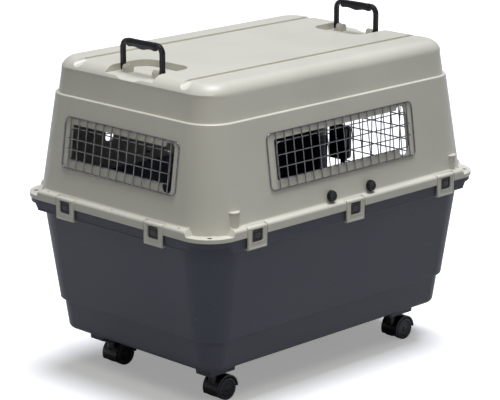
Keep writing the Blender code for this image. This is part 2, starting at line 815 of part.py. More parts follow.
def build_shell(finish):
    """The upper shell, with its rim, windows, roof channels and handle pockets."""
    rim_low = PARTING - RIM_SKIRT
    rim = loft_object(
        "rim",
        [
            rim_section(rim_low),
            rim_section(PARTING + 0.0005),
            rim_section(PARTING + RIM_CROWN * 0.72, 0.0022),
            rim_section(RIM_TOP, 0.0075),
            rim_section(RIM_TOP + 0.001, WALL_SET_IN - 0.002),
            shell_section(RIM_TOP + 0.0065, 0.0),
            shell_section(RIM_TOP + 0.02, WALL / 2),
        ],
    )
    cut(rim, *ledge_blocks(LEDGE_TOP, 0.0))
    wall_foot = LEDGE_TOP - FLANGE_THICKNESS
    shell = loft_object("upper_shell", [shell_section(wall_foot)] + roof_rings(), finish)
    join(shell, rim)
    above = half_space(PARTING, ROOF_TOP)
    join(shell, keep(door_bay(), above))
    for side in (-1, 1):
        for place in (-HOOK_PLACE, HOOK_PLACE):
            join(shell, strap_hook(side, place))

    under = loft_object(
        "under",
        [rim_section(rim_low - OVERSHOOT, RIM_THICKNESS), rim_section(PARTING, RIM_THICKNESS)],
    )
    cut(under, *ledge_blocks(LEDGE_TOP - FLANGE_THICKNESS, RIM_THICKNESS))
    inside = loft_object("inside", [shell_section(rim_low - OVERSHOOT, WALL)] + roof_rings(WALL))
    bay = keep(door_bay(WALL), half_space(rim_low - OVERSHOOT, ROOF_TOP))
    cut(bay, door_jamb())
    cut(inside, door_jamb())
    for side in (-1, 1):
        cut(inside, channel_shape(side, WALL), *channel_mouths(side, WALL))
        cut(inside, pocket_shape(side, WALL))
    join(inside, bay)
    cut(shell, under, inside, bay_trim())
    cut(shell, doorway_cutter())
    for side in (-1, 1):
        cut(shell, channel_shape(side), *channel_mouths(side), pocket_shape(side))
    for side_x in (-1, 1):
        for side_y in (-1, 1):
            join(shell, handle_boss(side_x, side_y))
    cut(shell, *boss_bores(), *window_cutters(), *clip_notches(), *knob_holes())
    cut(shell, *tie_holes(), *rim_bolt_holes(), *pin_holes())
    return smooth(tidy(shell))


def caster_pads():
    """Two-tier pads under the floor of the tub, one over each caster."""
    tiers = (
        (PAD_TOP_LENGTH, PAD_TOP_WIDTH, PAD_TOP_SHIFT, PAD_TOP_BOTTOM, UNDERSIDE + WALL / 2),
        (PAD_LENGTH, PAD_WIDTH, 0.0, PAD_BOTTOM, PAD_TOP_BOTTOM + WALL / 2),
    )
    for sign_x in (-1, 1):
        for sign_y in (-1, 1):
            y = sign_y * CASTER_Y
            for length, width, shift, bottom, top in tiers:
                x = sign_x * (CASTER_X + shift)
                rings = []
                for height, grow in ((bottom, 0.0), (top, 0.003)):
                    half_x = width / 2 + grow
                    half_y = length / 2 + grow
                    outline = rounded_outline(
                        x - half_x, y - half_y, x + half_x, y + half_y, 0.007, 2
                    )
                    rings.append([(u, v, height) for u, v in outline])
                yield loft_object("pad", rings)


def stem_bores():
    for sign_x in (-1, 1):
        for sign_y in (-1, 1):
            place = Vector((sign_x * CASTER_X, sign_y * CASTER_Y, PAD_BOTTOM - OVERSHOOT))
            reach = Vector((0, 0, OVERSHOOT + STEM_PEG_REACH + 0.002))
            yield rod("bore", STEM_PEG / 2 + GAP, place, place + reach, 8)


def tub_rings(inset=0.0):
    """Outline of the tub from its floor up to the parting line."""
    step = STEP_DEPTH + inset
    low = UNDERSIDE + inset
    spring = UNDERSIDE + UNDERSIDE_ROUND
    radius = UNDERSIDE_ROUND - inset
    rings = []
    for index in range(4):
        angle = math.radians(90 * index / 3)
        level = tub_section(spring, step + radius * (1 - math.sin(angle)))
        height = spring - radius * math.cos(angle)
        rings.append([(u, v, height) for u, v, _ in level])
    assert abs(rings[0][0][2] - low) < 1e-6
    rings.append(tub_section(STEP_HEIGHT - 0.001 + inset / 2, step))
    rings.append(tub_section(STEP_HEIGHT + 0.001 + inset / 2, 0.0015 + inset))
    rings.append(tub_section(STEP_HEIGHT + 0.003 + inset / 2, inset))
    return rings


def build_tub(finish):
    """The lower tub, with its flange, door sill and caster pads."""
    tub = loft_object("lower_tub", tub_rings() + [tub_section(FLANGE_TOP)], finish)
    flange = loft_object(
        "flange", [rim_section(FLANGE_LOW, FLANGE_OUT), rim_section(FLANGE_TOP, FLANGE_OUT)]
    )
    ledge = LEDGE_TOP - FLANGE_THICKNESS - GAP
    cut(flange, *ledge_blocks(ledge, FLANGE_OUT))
    rise = CORNER_SKIRT_RISE
    shift = RIM_CORNER - LEDGE_REACH
    levels = [(FLANGE_LOW - OVERSHOOT, -rise - shift), (FLANGE_LOW + rise, rise - shift)]
    cut(flange, *corner_blocks(levels))
    inner = FLANGE_OUT + FLANGE_THICKNESS
    channel = loft_object(
        "channel",
        [
            rim_section(FLANGE_LOW - OVERSHOOT, inner),
            rim_section(FLANGE_TOP - FLANGE_THICKNESS, inner),
        ],
    )
    cut(channel, *ledge_blocks(ledge - FLANGE_THICKNESS, inner))
    cut(flange, channel)
    cut(tub, *ledge_blocks(ledge, FLANGE_OUT))
    join(tub, flange)
    join(tub, keep(door_bay(), half_space(0.0, FLANGE_TOP)))
    join(tub, *caster_pads())

    inside = loft_object("inside", tub_rings(WALL) + [tub_section(PARTING + OVERSHOOT, WALL)])
    bay = keep(door_bay(WALL), half_space(0.0, PARTING + OVERSHOOT))
    cut(bay, door_jamb())
    cut(inside, door_jamb())
    join(inside, bay)
    cut(tub, inside, bay_trim(), doorway_cutter())
    cut(tub, *button_wells(), *stem_bores(), *tie_holes(), *rim_bolt_holes(), *pin_holes())
    return smooth(tidy(tub))


def build_grille(name, side, window, finish):
    """A window grille: uprights welded to a frame and a ring, with two bars across them."""
    wire = WIRE / 2
    frame = FRAME_WIRE / 2
    v_low = slope_height(window["frame_low"])
    v_high = slope_height(window["frame_high"])
    frame_w = GAP + frame
    upright_w = frame_w + frame + wire - WELD
    ring_w = upright_w - 2 * wire + WELD
    bar_w = upright_w + 2 * wire - WELD

    uprights = bmesh.new()
    columns = [
        window["first_column"] + window["column_pitch"] * i for i in range(window["columns"])
    ]
    for u in columns:
        ends = [Vector((u, v_low, upright_w)), Vector((u, v_high, upright_w))]
        add_wire(uprights, ends, Vector((0, 0, 1)), wire)
    grille = add_object(name, uprights, finish, wall_matrix(side))

    across = bmesh.new()
    outward = Vector((0, 0, 1))
    half = window["frame_width"] / 2
    centre = window["frame_centre"]
    outline = rounded_outline(centre - half, v_low, centre + half, v_high, FRAME_CORNER, 3)
    add_wire(across, [Vector((u, v, frame_w)) for u, v in outline], outward, frame, True)
    low = slope_height(window["ring_low"])
    high = slope_height(window["ring_high"])
    outline = rounded_outline(columns[0], low, columns[-1], high, RING_CORNER, 2)
    add_wire(across, [Vector((u, v, ring_w)) for u, v in outline], outward, wire, True)
    for share in (1 / 3, 2 / 3):
        v = low + (high - low) * share
        ends = [Vector((columns[0] - 2 * wire, v, bar_w)), Vector((columns[-1] + 2 * wire, v, bar_w))]
        add_wire(across, ends, outward, wire)
    join(grille, add_object("across", across, None, wall_matrix(side)))
    return grille


def build_door(finish):
    """The wire door, whose long hinge rod turns in the head and the sill."""
    half = DOOR_PITCH * (DOOR_COLUMNS - 1) / 2
    high = DOOR_LOW + DOOR_ROW_PITCH * (DOOR_ROWS - 1)
    wire = DOOR_WIRE / 2
    heavy = DOOR_ROD / 2
    bars = bmesh.new()
    for index in range(DOOR_COLUMNS):
        x = -half + DOOR_PITCH * index
        radius = heavy if index in (0, DOOR_COLUMNS - 1) else wire
        reach = DOOR_GAP + PIN_REACH if index == 0 else wire
        ends = [Vector((x, -DOOR_PLANE, DOOR_LOW - reach)), Vector((x, -DOOR_PLANE, high + reach))]
        add_wire(bars, ends, Vector((0, 1, 0)), radius)
    door = add_object("door_panel", bars, finish)
    rows = bmesh.new()
    row_y = -DOOR_PLANE - 2 * wire + WELD
    for index in range(DOOR_ROWS):
        z = DOOR_LOW + DOOR_ROW_PITCH * index
        ends = [Vector((-half - heavy, row_y, z)), Vector((half + heavy, row_y, z))]
        add_wire(rows, ends, Vector((0, 1, 0)), wire)
    join(door, add_object("rows", rows))
    return set_origin(door, (hinge_x(), -DOOR_PLANE, LATCH_MIDDLE))


def set_origin(obj, place):
    """Moves an object's origin to a place, with its shape left where it is."""
    offset = Vector(place)
    obj.data.transform(Matrix.Translation(-offset) @ obj.matrix_world)
    obj.matrix_world = Matrix.Translation(offset)
    return obj


def latch_front():
    """Face of the door's wires, on which the latch housing lies."""
    return -(DOOR_PLANE + 1.5 * DOOR_WIRE - WELD + GAP)


def build_latch_housing(finish):
    """Front half of the door latch, open at the front for the two finger grips."""
    left = LATCH_PLACE - LATCH_WIDTH / 2
    right = LATCH_PLACE + LATCH_WIDTH / 2
    low = LATCH_MIDDLE - LATCH_HEIGHT / 2
    high = LATCH_MIDDLE + LATCH_HEIGHT / 2
    back = latch_front()
    face = back - LATCH_THICKNESS
    rings = []
    for y, inset in ((back, 0.0), (face + 0.004, 0.0), (face, 0.003)):
        outline = rounded_outline(
            left + inset, low + inset, right - inset, high - inset, 0.010 - inset, 3
        )
        rings.append([Vector((u, y, v)) for u, v in outline])
    housing = loft_object("door_latch_housing", rings, finish)
    wall = LATCH_WALL
    outline = rounded_outline(left + wall, low + wall, right - wall, high - wall, 0.005, 2)
    floor = back - 0.0015
    cut(housing, prism("well", outline, face - OVERSHOOT, floor, end_place))
    y = lock_rod_y()
    radius = LOCK_ROD / 2 + PIN_PLAY
    cut(housing, rod("rod_hole", radius, (LATCH_PLACE, y, low - 0.01), (LATCH_PLACE, y, high + 0.01)))
    return housing


def build_latch_plate(finish):
    """Back half of the door latch, inside the wires, with a small foot."""
    left = LATCH_PLACE - LATCH_WIDTH / 2
    right = LATCH_PLACE + LATCH_WIDTH / 2
    low = LATCH_MIDDLE - LATCH_HEIGHT / 2
    high = LATCH_MIDDLE + LATCH_HEIGHT / 2
    front = -DOOR_PLANE + DOOR_WIRE / 2 + GAP
    outline = rounded_outline(left, low, right, high, 0.005, 2)
    plate = prism("door_latch_plate", outline, front, front + BACK_PLATE, end_place, finish)
    foot = rounded_outline(left + 0.004, low - 0.009, left + 0.020, low + 0.010, 0.004, 2)
    return join(plate, prism("foot", foot, front + 0.001, front + 0.006, end_place))


def build_lock_bar(name, way, finish):
    """A lock rod with its finger grip, drawn back towards the middle of the latch."""
    low, high = doorway_limits()[1], doorway_limits()[3]
    tip = high - LOCK_TIP_GAP if way > 0 else low + LOCK_TIP_GAP
    near = LATCH_MIDDLE + way * 0.002
    far = near + way * LOCK_GRIP
    y = lock_rod_y()
    half = LATCH_WIDTH / 2 - LATCH_WALL - 2 * GAP
    face = latch_front() - LATCH_THICKNESS + 0.002
    floor = latch_front() - 0.0015 - GAP
    outline = rounded_outline(LATCH_PLACE - half, face, LATCH_PLACE + half, floor, 0.003, 2)
    grip = prism(name, outline, min(near, far), max(near, far), flat_place, finish)
    bar = rod("bar", LOCK_ROD / 2, (LATCH_PLACE, y, (near + far) / 2), (LATCH_PLACE, y, tip))
    join(grip, bar)
    return set_origin(grip, (LATCH_PLACE, y, LATCH_MIDDLE))


def build_clip(name, side, u, finish):
    """A latch clip: a plate with a window, hooked over the rim and under the flange."""
    half = CLIP_WIDTH / 2
    low = FLANGE_LOW - CLIP_BOTTOM
    inner = -FLANGE_OUT + GAP * 2
    outer = CLIP_PROUD
    lip_low = PARTING + RIM_THICKNESS + GAP
    hook_top = FLANGE_LOW - GAP
    crown = RIM_TOP + 0.0005
    profile = [
        (inner, hook_top), (-CLIP_HOOK, hook_top), (-CLIP_HOOK, low + 0.0015),
        (outer - 0.002, low), (outer, low + 0.002), (outer, crown - 0.0055),
        (outer - 0.0015, crown - 0.002), (outer - 0.0055, crown), (-CLIP_REACH, crown),
        (-CLIP_REACH, lip_low), (inner, lip_low),
    ]
    rings = [[Vector((x, v, w)) for w, v in profile] for x in (u - half, u + half)]
    clip = loft_object(name, rings, finish, rim_matrix(side))
    window = button_outline(u, 0.0)
    cut(clip, prism("window", window, -OVERSHOOT / 4, OVERSHOOT, flat_place, matrix=rim_matrix(side)))
    return clip


def button_outline(u, inset):
    high = PARTING - BUTTON_DROP - inset
    low = PARTING - BUTTON_DROP - BUTTON_HEIGHT + inset
    half = BUTTON_WIDTH / 2 - inset
    return rounded_outline(u - half, low, u + half, high, 0.0025, 1)


def build_button(name, side, u, finish):
    """The push button in a clip's window, with a raised pad."""
    face = CLIP_PROUD - BUTTON_INSET
    back = face - BUTTON_THICKNESS
    outline = button_outline(u, BUTTON_PLAY)
    inner = button_outline(u, BUTTON_PLAY + 0.006)
    rings = [
        [Vector((x, v, back)) for x, v in outline],
        [Vector((x, v, face - 0.0012)) for x, v in outline],
        [Vector((x, v, face - 0.0012)) for x, v in inner],
        [Vector((x, v, face)) for x, v in button_outline(u, BUTTON_PLAY + 0.0068)],
    ]
    return loft_object(name, rings, finish, rim_matrix(side))


def build_knob(name, side, u, finish):
    """A fluted knob with its stud, square to the wall."""
    count = KNOB_FLUTES * 2
    rings = []
    depth = KNOB_STAND_OFF + KNOB_THICKNESS
    levels = ((KNOB_STAND_OFF, 1.0), (depth, 0.9))
    for w, share in levels:
        ring = []
        for i in range(count):
            angle = 2 * math.pi * i / count
            radius = (KNOB_RADIUS - (KNOB_FLUTE if i % 2 else 0.0)) * share
            ring.append(Vector((radius * math.cos(angle), radius * math.sin(angle), w)))
        rings.append(ring)
    knob = loft_object(name, rings, finish, knob_matrix(side, u))
    neck = KNOB_RADIUS * 0.6
    stud = KNOB_STUD / 2
    profile = [
        (0, -WALL - KNOB_STUD_REACH), (stud, -WALL - KNOB_STUD_REACH), (stud, GAP), (neck, GAP),
        (neck, KNOB_STAND_OFF + 0.002), (0, KNOB_STAND_OFF + 0.002),
    ]
    return join(knob, turned("stud", profile, 6, matrix=knob_matrix(side, u)))


def build_handle(name, side, finish):
    """A carrying handle: an arch with a waved grip and a pivot pin at each foot."""
    pivot_z = ROOF_TOP - POCKET_DEPTH + PIVOT_HEIGHT
    half = HANDLE_WIDTH / 2
    inner = half - HANDLE_BAR
    top = HANDLE_TOP - 0.002
    bar = HANDLE_BAR
    foot = PIVOT_PIN
    corner = HANDLE_CORNER
    outline = arc(half - corner, top - corner, corner, 0, 90, 4)
    outline += arc(-half + corner, top - corner, corner, 90, 180, 4)
    outline += arc(-half + bar / 2, pivot_z, bar / 2, 180, 360, 4)
    lift = top - bar
    small = corner - bar
    outline += arc(-inner + small, lift - small, small, 180, 90, 3)
    outline += arc(inner - small, lift - small, small, 90, 0, 3)
    outline += arc(half - bar / 2, pivot_z, bar / 2, 180, 360, 4)
    centre_y = side * HANDLE_PLACE
    rings = []
    for offset, inset in ((-bar / 2, 0.0), (bar / 2, 0.0)):
        rings.append([Vector((u, centre_y + offset, v)) for u, v in outline])
    handle = loft_object(name, rings, finish)
    bevel = handle.modifiers.new("edges", "BEVEL")
    bevel.width = 0.0016
    bevel.segments = 1
    bevel.limit_method = "ANGLE"
    bevel.angle_limit = math.radians(60)

    steps = 12
    grip_rings = []
    middle = HANDLE_TOP - GRIP_HEIGHT / 2
    for i in range(steps + 1):
        along = i / steps
        x = (along - 0.5) * GRIP_LENGTH
        hollow = GRIP_WAVE * (1 - math.cos(2 * math.pi * GRIP_HOLLOWS * along)) / 2
        rise = hollow + GRIP_BELLY * (1 - math.sin(math.pi * along))
        ring = []
        for k in range(8):
            angle = math.radians(22.5 + 45 * k)
            z = math.sin(angle) * GRIP_HEIGHT / 2
            z = z + rise if z < 0 else z
            ring.append(Vector((x, centre_y + math.cos(angle) * GRIP_DEPTH / 2, middle + z)))
        grip_rings.append(ring)
    join(handle, loft_object("grip", grip_rings))
    for way in (-1, 1):
        start = (way * (inner + foot / 2), centre_y, pivot_z)
        end = (way * pin_tip(), centre_y, pivot_z)
        join(handle, rod("pin", PIVOT_PIN / 2, start, end, 8))
    tidy(handle)
    set_origin(handle, (0, centre_y, pivot_z))
    return smooth(handle, 40)


def caster_places():
    names = {(-1, -1): "front_left", (1, -1): "front_right", (-1, 1): "rear_left", (1, 1): "rear_right"}
    for (sign_x, sign_y), name in names.items():
        yield name, Vector((sign_x * CASTER_X, sign_y * CASTER_Y, 0.0))


def hood_top():
    return PAD_BOTTOM - GAP - COLLAR_THICKNESS


def build_stem(name, place, finish):
    """The caster's stem: a peg in the pad, a collar and the swivel pin below it."""
    collar_top = PAD_BOTTOM - GAP
    collar_low = collar_top - COLLAR_THICKNESS
    profile = [
        (0, STEM_PIN_BOTTOM), (STEM_PIN / 2, STEM_PIN_BOTTOM), (STEM_PIN / 2, collar_low),
        (COLLAR_DIAMETER / 2, collar_low), (COLLAR_DIAMETER / 2, collar_top),
        (STEM_PEG / 2, collar_top), (STEM_PEG / 2, collar_top + STEM_PEG_REACH),
        (0, collar_top + STEM_PEG_REACH),
    ]
    return smooth(turned(name, profile, 8, finish, Matrix.Translation(place)))


def hood_mesh():
    """The hood and centre web over a caster's two wheels, about its swivel axis."""
    axle_y = -CASTER_TRAIL
    axle_z = WHEEL_RADIUS
    inner = WHEEL_RADIUS + HOOD_CLEARANCE
    outer = inner + HOOD_WALL
    half = WEB_THICKNESS / 2 + WHEEL_PLAY + WHEEL_WIDTH
    outline = arc(axle_y, axle_z, outer, HOOD_FRONT, HOOD_BACK, 10)
    outline += arc(axle_y, axle_z, 0.009, HOOD_BACK + 20, HOOD_FRONT + 330, 2)
    hood = prism("hood", outline, -half, half, side_place)
    top = hood_top() - GAP
    join(hood, rod("boss", BOSS_DIAMETER / 2, (0, 0, 0.045), (0, 0, top), 10))
    turn = math.pi / WHEEL_FACETS
    for sign in (-1, 1):
        start = (sign * WEB_THICKNESS / 2, axle_y, axle_z)
        end = (sign * (half + OVERSHOOT), axle_y, axle_z)
        cut(hood, rod("wheel_space", inner, start, end, WHEEL_FACETS, turn=turn))
    reach = half + OVERSHOOT
    hole = AXLE / 2 + AXLE_PLAY
    cut(hood, rod("axle_hole", hole, (-reach, axle_y, axle_z), (reach, axle_y, axle_z), 8))
    floor = STEM_PIN_BOTTOM - 0.001
    cut(hood, rod("swivel_bore", STEM_PIN / 2 + GAP, (0, 0, floor), (0, 0, top + OVERSHOOT), 8))
    smooth(tidy(hood))
    mesh = hood.data
    bpy.data.objects.remove(hood)
    return mesh


def wheel_mesh():
    """A caster wheel about local Z, its blind bore at Z = 0 and its face outwards."""
    tread = WHEEL_RADIUS / math.cos(math.pi / WHEEL_FACETS)
    bore = AXLE / 2 + AXLE_PLAY
    width = WHEEL_WIDTH
    profile = [
        (0, width - 0.004), (bore, width - 0.004), (bore, 0), (tread, 0),
        (tread, width - 0.0025), (tread - 0.0025, width), (tread * 0.76, width),
        (tread * 0.70, width - 0.0015), (0, width - 0.0015),
    ]
    wheel = smooth(turned("wheel", profile, WHEEL_FACETS, turn=math.pi / WHEEL_FACETS))
    mesh = wheel.data
    bpy.data.objects.remove(wheel)
    return mesh


def link(name, mesh, finish, matrix, parent=None):
    """Adds an object that shares a mesh with its twins."""
    if not mesh.materials:
        mesh.materials.append(finish)
    obj = bpy.data.objects.new(name, mesh)
    bpy.context.scene.collection.objects.link(obj)
    if parent:
        obj.parent = parent
    obj.matrix_world = matrix
    return obj


def build_casters(black, rubber, steel):
    """Four twin-wheel swivel casters."""
    hoods = hood_mesh()
    wheels = wheel_mesh()
    for name, place in caster_places():
        build_stem(f"caster_stem_{name}", place, steel)
        hood = link(f"caster_hood_{name}", hoods, black, Matrix.Translation(place))
        bpy.context.view_layer.update()
        centre = place + Vector((0, -CASTER_TRAIL, WHEEL_RADIUS))
        reach = WEB_THICKNESS / 2 + WHEEL_PLAY + WHEEL_WIDTH - 0.004 - 2 * GAP
        shaft = rod(
            f"caster_axle_{name}", AXLE / 2, centre - Vector((reach, 0, 0)),
            centre + Vector((reach, 0, 0)), 8, steel,
        )
        set_origin(shaft, centre)
        for side, sign in (("left", -1), ("right", 1)):
            seat = centre + Vector((sign * (WEB_THICKNESS / 2 + WHEEL_PLAY), 0, 0))
            turn = Matrix.Rotation(math.radians(90 * sign), 4, "Y")
            matrix = Matrix.Translation(seat) @ turn
            link(f"caster_wheel_{name}_{side}", wheels, rubber, matrix, hood)


def build_latches(cream, black):
    """Sliding clips with push buttons, two at the rear and three along each side."""
    for side, u in latch_places():
        place = {-1: "low", 0: "middle", 1: "high"}[(u > 0.01) - (u < -0.01)]
        spot = {"low": "a", "middle": "b", "high": "c"}[place]
        clip = build_clip(f"latch_clip_{side}_{spot}", side, u, cream)
        button = build_button(f"latch_button_{side}_{spot}", side, u, black)
        bpy.context.view_layer.update()
        placed = button.matrix_world.copy()
        button.parent = clip
        button.matrix_world = placed


def main():
    clear_scene()
    cream = make_material("cream_plastic", (0.66, 0.64, 0.54), 0.42)
    slate = make_material("slate_plastic", (0.055, 0.060, 0.075), 0.5)
    black = make_material("black_plastic", (0.012, 0.012, 0.014), 0.4)
    steel = make_material("steel_wire", (0.32, 0.32, 0.34), 0.35, 0.9)
    rubber = make_material("wheel_plastic", (0.02, 0.02, 0.024), 0.6)

    build_tub(slate)
    build_shell(cream)
    build_grille("grille_left", "left", SIDE_WINDOW, steel)
    build_grille("grille_right", "right", SIDE_WINDOW, steel)
    build_grille("grille_rear", "rear", REAR_WINDOW, steel)
    build_door(steel)
    build_latch_housing(black)
    build_latch_plate(black)
    build_lock_bar("door_lock_bar_upper", 1, black)
    build_lock_bar("door_lock_bar_lower", -1, black)
    build_handle("handle_rear", 1, black)
    build_handle("handle_front", -1, black)
    build_latches(cream, black)
    for side, u in knob_places():
        build_knob(f"knob_{side}_{'a' if u < 0 else 'b'}", side, u, black)
    build_casters(black, rubber, steel)


main()
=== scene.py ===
import json
import math

import bmesh
import bpy
from mathutils import Matrix, Vector


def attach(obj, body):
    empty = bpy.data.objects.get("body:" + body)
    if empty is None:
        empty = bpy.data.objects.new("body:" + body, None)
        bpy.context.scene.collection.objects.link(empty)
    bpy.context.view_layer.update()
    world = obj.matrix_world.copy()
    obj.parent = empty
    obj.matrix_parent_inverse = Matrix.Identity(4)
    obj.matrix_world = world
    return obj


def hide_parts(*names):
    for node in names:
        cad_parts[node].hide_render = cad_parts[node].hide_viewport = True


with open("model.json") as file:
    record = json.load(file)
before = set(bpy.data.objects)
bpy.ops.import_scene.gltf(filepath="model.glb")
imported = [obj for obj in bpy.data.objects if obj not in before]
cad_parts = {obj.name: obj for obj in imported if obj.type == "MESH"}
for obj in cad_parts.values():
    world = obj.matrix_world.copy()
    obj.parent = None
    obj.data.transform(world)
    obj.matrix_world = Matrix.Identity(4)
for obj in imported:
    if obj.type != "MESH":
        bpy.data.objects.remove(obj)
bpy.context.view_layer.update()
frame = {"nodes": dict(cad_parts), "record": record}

# Sizes in metres, most of them the CAD's own; the underside and the roof grooves follow the photo

RIM_LENGTH = 1.040
RIM_WIDTH = 0.727
PARTING = 0.4905
ROOF_TOP = 0.845
WALL = 0.004
WALL_SET_IN = 0.0172
SHELL_DRAFT = 0.1385
SLOPE = math.sqrt(1 + SHELL_DRAFT**2)
GAP = 0.0003
WELD = 0.0006
OVERSHOOT = 0.02
CORNER_STEPS = 16
MOULDING_SHARP = 20
CREASE = 0.820
CREASE_TILT = 0.35
LIP_HEIGHT = 0.003
LIP_DEPTH = 0.0011
RIM_ROUND = 0.0075
RIM_CORNER = 0.087
SHOULDER_DROP = 0.093
SHOULDER_STEP = 0.0075
SHOULDER_LIP = 0.0015
STEP_HEIGHT = 0.195
STEP_DEPTH = 0.010
UNDERSIDE = 0.111
UNDERSIDE_ROUND = 0.016
ROOF_ROUND = 0.036
WALL_CORNER = 0.108
LEAST_CORNER = 0.01
SHELL_CORNER_DRAFT = 0.095
TUB_DRAFT = 0.1394
TUB_CORNER_DRAFT = 0.125
RIM_SKIRT = 0.016
RIM_THICKNESS = 0.0027
RIM_CROWN = 0.0085
FLANGE_DROP = 0.044
FLANGE_THICKNESS = 0.0035
CORNER_DROP = 0.0145
CORNER_SKIRT_RISE = 0.0155
LEDGE_REACH = 0.083
LEDGE_CURVE = 0.008
TIE_HOLE = 0.013
RIM_BOLT_HOLE = 0.005
RIM_BOLT_PLACE = RIM_WIDTH / 2 - 0.1185
RIM_BOLT_SHARE = 0.62
RIM_HOLE_LENGTH = 0.1
CHANNEL_PLACE = RIM_WIDTH / 2 - 0.1705
CHANNEL_RADIUS = 0.011
CHANNEL_DEPTH = 0.0055
CHANNEL_ROUND = 0.0025
MOUTH_LENGTH = 0.115
MOUTH_RADIUS = 0.030
MOUTH_SHIFT = 0.008
MOUTH_SHARE = 0.52
HANDLE_PLACE = 0.397
HANDLE_BAR = 0.012
HANDLE_HALF = 0.157 / 2
HANDLE_CORNER = 0.026
BAR_TOP = 0.915
GRIP_LENGTH = 0.104
GRIP_MIDDLE = 0.904
COLLAR_PLACE = 0.0455
POCKET_DEPTH = 0.0175
POCKET_HALF_WIDTH = 0.088
POCKET_REACH = 0.093
POCKET_CORNER = 0.040
SCOOP_HALF_WIDTH = 0.052
SCOOP_SLOPE = 0.18
SCOOP_FLAT_SHARE = 0.38
PIVOT_Z = ROOF_TOP - POCKET_DEPTH + 0.010
PIVOT_PIN = 0.008
PIVOT_PLAY = 0.0005
BOSS_WIDTH = 0.022
BOSS_RADIUS = 0.0095
PIN_TIP = HANDLE_HALF - HANDLE_BAR - PIVOT_PLAY - BOSS_WIDTH * 0.6
WINDOW_CORNER = 0.004
SLOT_CORNER = 0.012
SIDE_WINDOW = dict(
    frame_width=0.543, frame_centre=-0.0085, frame_low=0.075, frame_high=0.216,
    open_left=-0.253, open_right=0.235, open_low=0.0975, open_high=0.1995,
    slot_width=0.031, slot_low=0.0815, slot_high=0.2095, ring_low=0.0995, ring_high=0.1915,
    columns=17, pitch=0.0306, first=-0.2505,
)
REAR_WINDOW = dict(
    frame_width=0.422, frame_centre=0.004, frame_low=0.0795, frame_high=0.2105,
    open_left=-0.180, open_right=0.198, open_low=0.1025, open_high=0.1935,
    slot_width=0.033, slot_low=0.0825, slot_high=0.2055, ring_low=0.1045, ring_high=0.1855,
    columns=13, pitch=0.0310, first=-0.182,
)
WINDOWS = {"left": SIDE_WINDOW, "right": SIDE_WINDOW, "rear": REAR_WINDOW}
WIRE = 0.0032
FRAME_WIRE = 0.0036
CRIMP = 0.0016
DOOR_COLUMNS = 12
DOOR_PITCH = 0.0345
DOOR_ROWS = 15
DOOR_ROW_PITCH = 0.0335
DOOR_WIRE = 0.0036
DOOR_ROD = 0.005
DOOR_ROD_REACH = 0.017
DOOR_GAP = 0.008
DOOR_HALF = DOOR_PITCH * (DOOR_COLUMNS - 1) / 2
DOOR_LOW = 0.229
DOOR_HIGH = DOOR_LOW + DOOR_ROW_PITCH * (DOOR_ROWS - 1)
DOORWAY = (-DOOR_HALF - 0.0135, DOOR_LOW - DOOR_GAP, DOOR_HALF + DOOR_GAP, DOOR_HIGH + DOOR_GAP)
DOORWAY_CORNER = 0.012
BAY_FACE = RIM_LENGTH / 2 - 0.0195
BAY_BORDER = 0.036
BAY_CORNER = 0.034
BAY_FLARE = 0.016
BAY_REACH = 0.070
JAMB_BORDER = 0.013
JAMB_DEPTH = 0.032
DOOR_PLANE = BAY_FACE - 0.012
PIN_PLAY = 0.0006
LATCH_PLACE = 0.140
LOCK_ROD = 0.005
LOCK_ROD_Y = -(DOOR_PLANE + 1.5 * DOOR_WIRE - WELD + LOCK_ROD / 2 + 2 * GAP)
LOCK_REACH = 0.010 + 0.0015
CLIP_WIDTH = 0.065
CLIP_SLOT = 0.005
CLIP_REACH = 0.0125
CLIP_FACE = 0.003
CLIP_BACK = 0.012
CLIP_INNER = -0.0024
CLIP_LOW = 0.4407
CLIP_CROWN = 0.4995
CLIP_BORDER = 0.0048
BUTTON_WIDTH = 0.035
BUTTON_HEIGHT = 0.0285
BUTTON_TOP = PARTING - 0.0010
REAR_LATCH_PLACE = RIM_WIDTH / 2 - 0.1975
SIDE_LATCH_PLACE = RIM_LENGTH / 2 - 0.163
KNOB_PLACE = 0.074
KNOB_RISE = 0.027
KNOB_STUD = 0.006
KNOB_RADIUS = 0.0145
KNOB_FLUTES = 10
KNOB_BASE = 0.0087
HOOK_PLACE = RIM_LENGTH / 2 - 0.110
HOOK_SINK = 0.005
HOOK_RADIUS = 0.0165
HOOK_TOP = PARTING + 0.050
HOOK_LIP = 0.0045
HOOK_NECK_SHARE = 0.86
CASTER_X = RIM_WIDTH / 2 - 0.1703
CASTER_Y = RIM_LENGTH / 2 - 0.1759
PAD_TOP_BOTTOM = 0.080
PAD_BOTTOM = 0.073
PAD_CORNER = 0.007
PAD_GROWTH = 0.003
PAD_TIERS = (
    (0.092, 0.055, 0.009, PAD_TOP_BOTTOM, UNDERSIDE + WALL / 2),
    (0.062, 0.044, 0.0, PAD_BOTTOM, PAD_TOP_BOTTOM + WALL / 2),
)
STEM_PEG = 0.010
STEM_PEG_REACH = 0.021
STEM_PEG_ROOM = 0.002
WHEEL_RADIUS = 0.030
WHEEL_WIDTH = 0.019
WEB = 0.016
WHEEL_PLAY = 0.0004
TRAIL = 0.026
AXLE_HOLE = 0.0033
HOOD_INNER = 0.0325
HOOD_OUTER = 0.037
HOOD_TOP = 0.0694
HOOD_BOSS = 0.012
SWIVEL_HOLE = 0.0043
RIM_TOP = PARTING + RIM_CROWN
SHOULDER = ROOF_TOP - SHOULDER_DROP
FLANGE_TOP = PARTING - GAP
FLANGE_LOW = FLANGE_TOP - FLANGE_DROP
FLANGE_OUT = RIM_THICKNESS + GAP
LEDGE_TOP = RIM_TOP - CORNER_DROP

# Where the repeated pieces stand

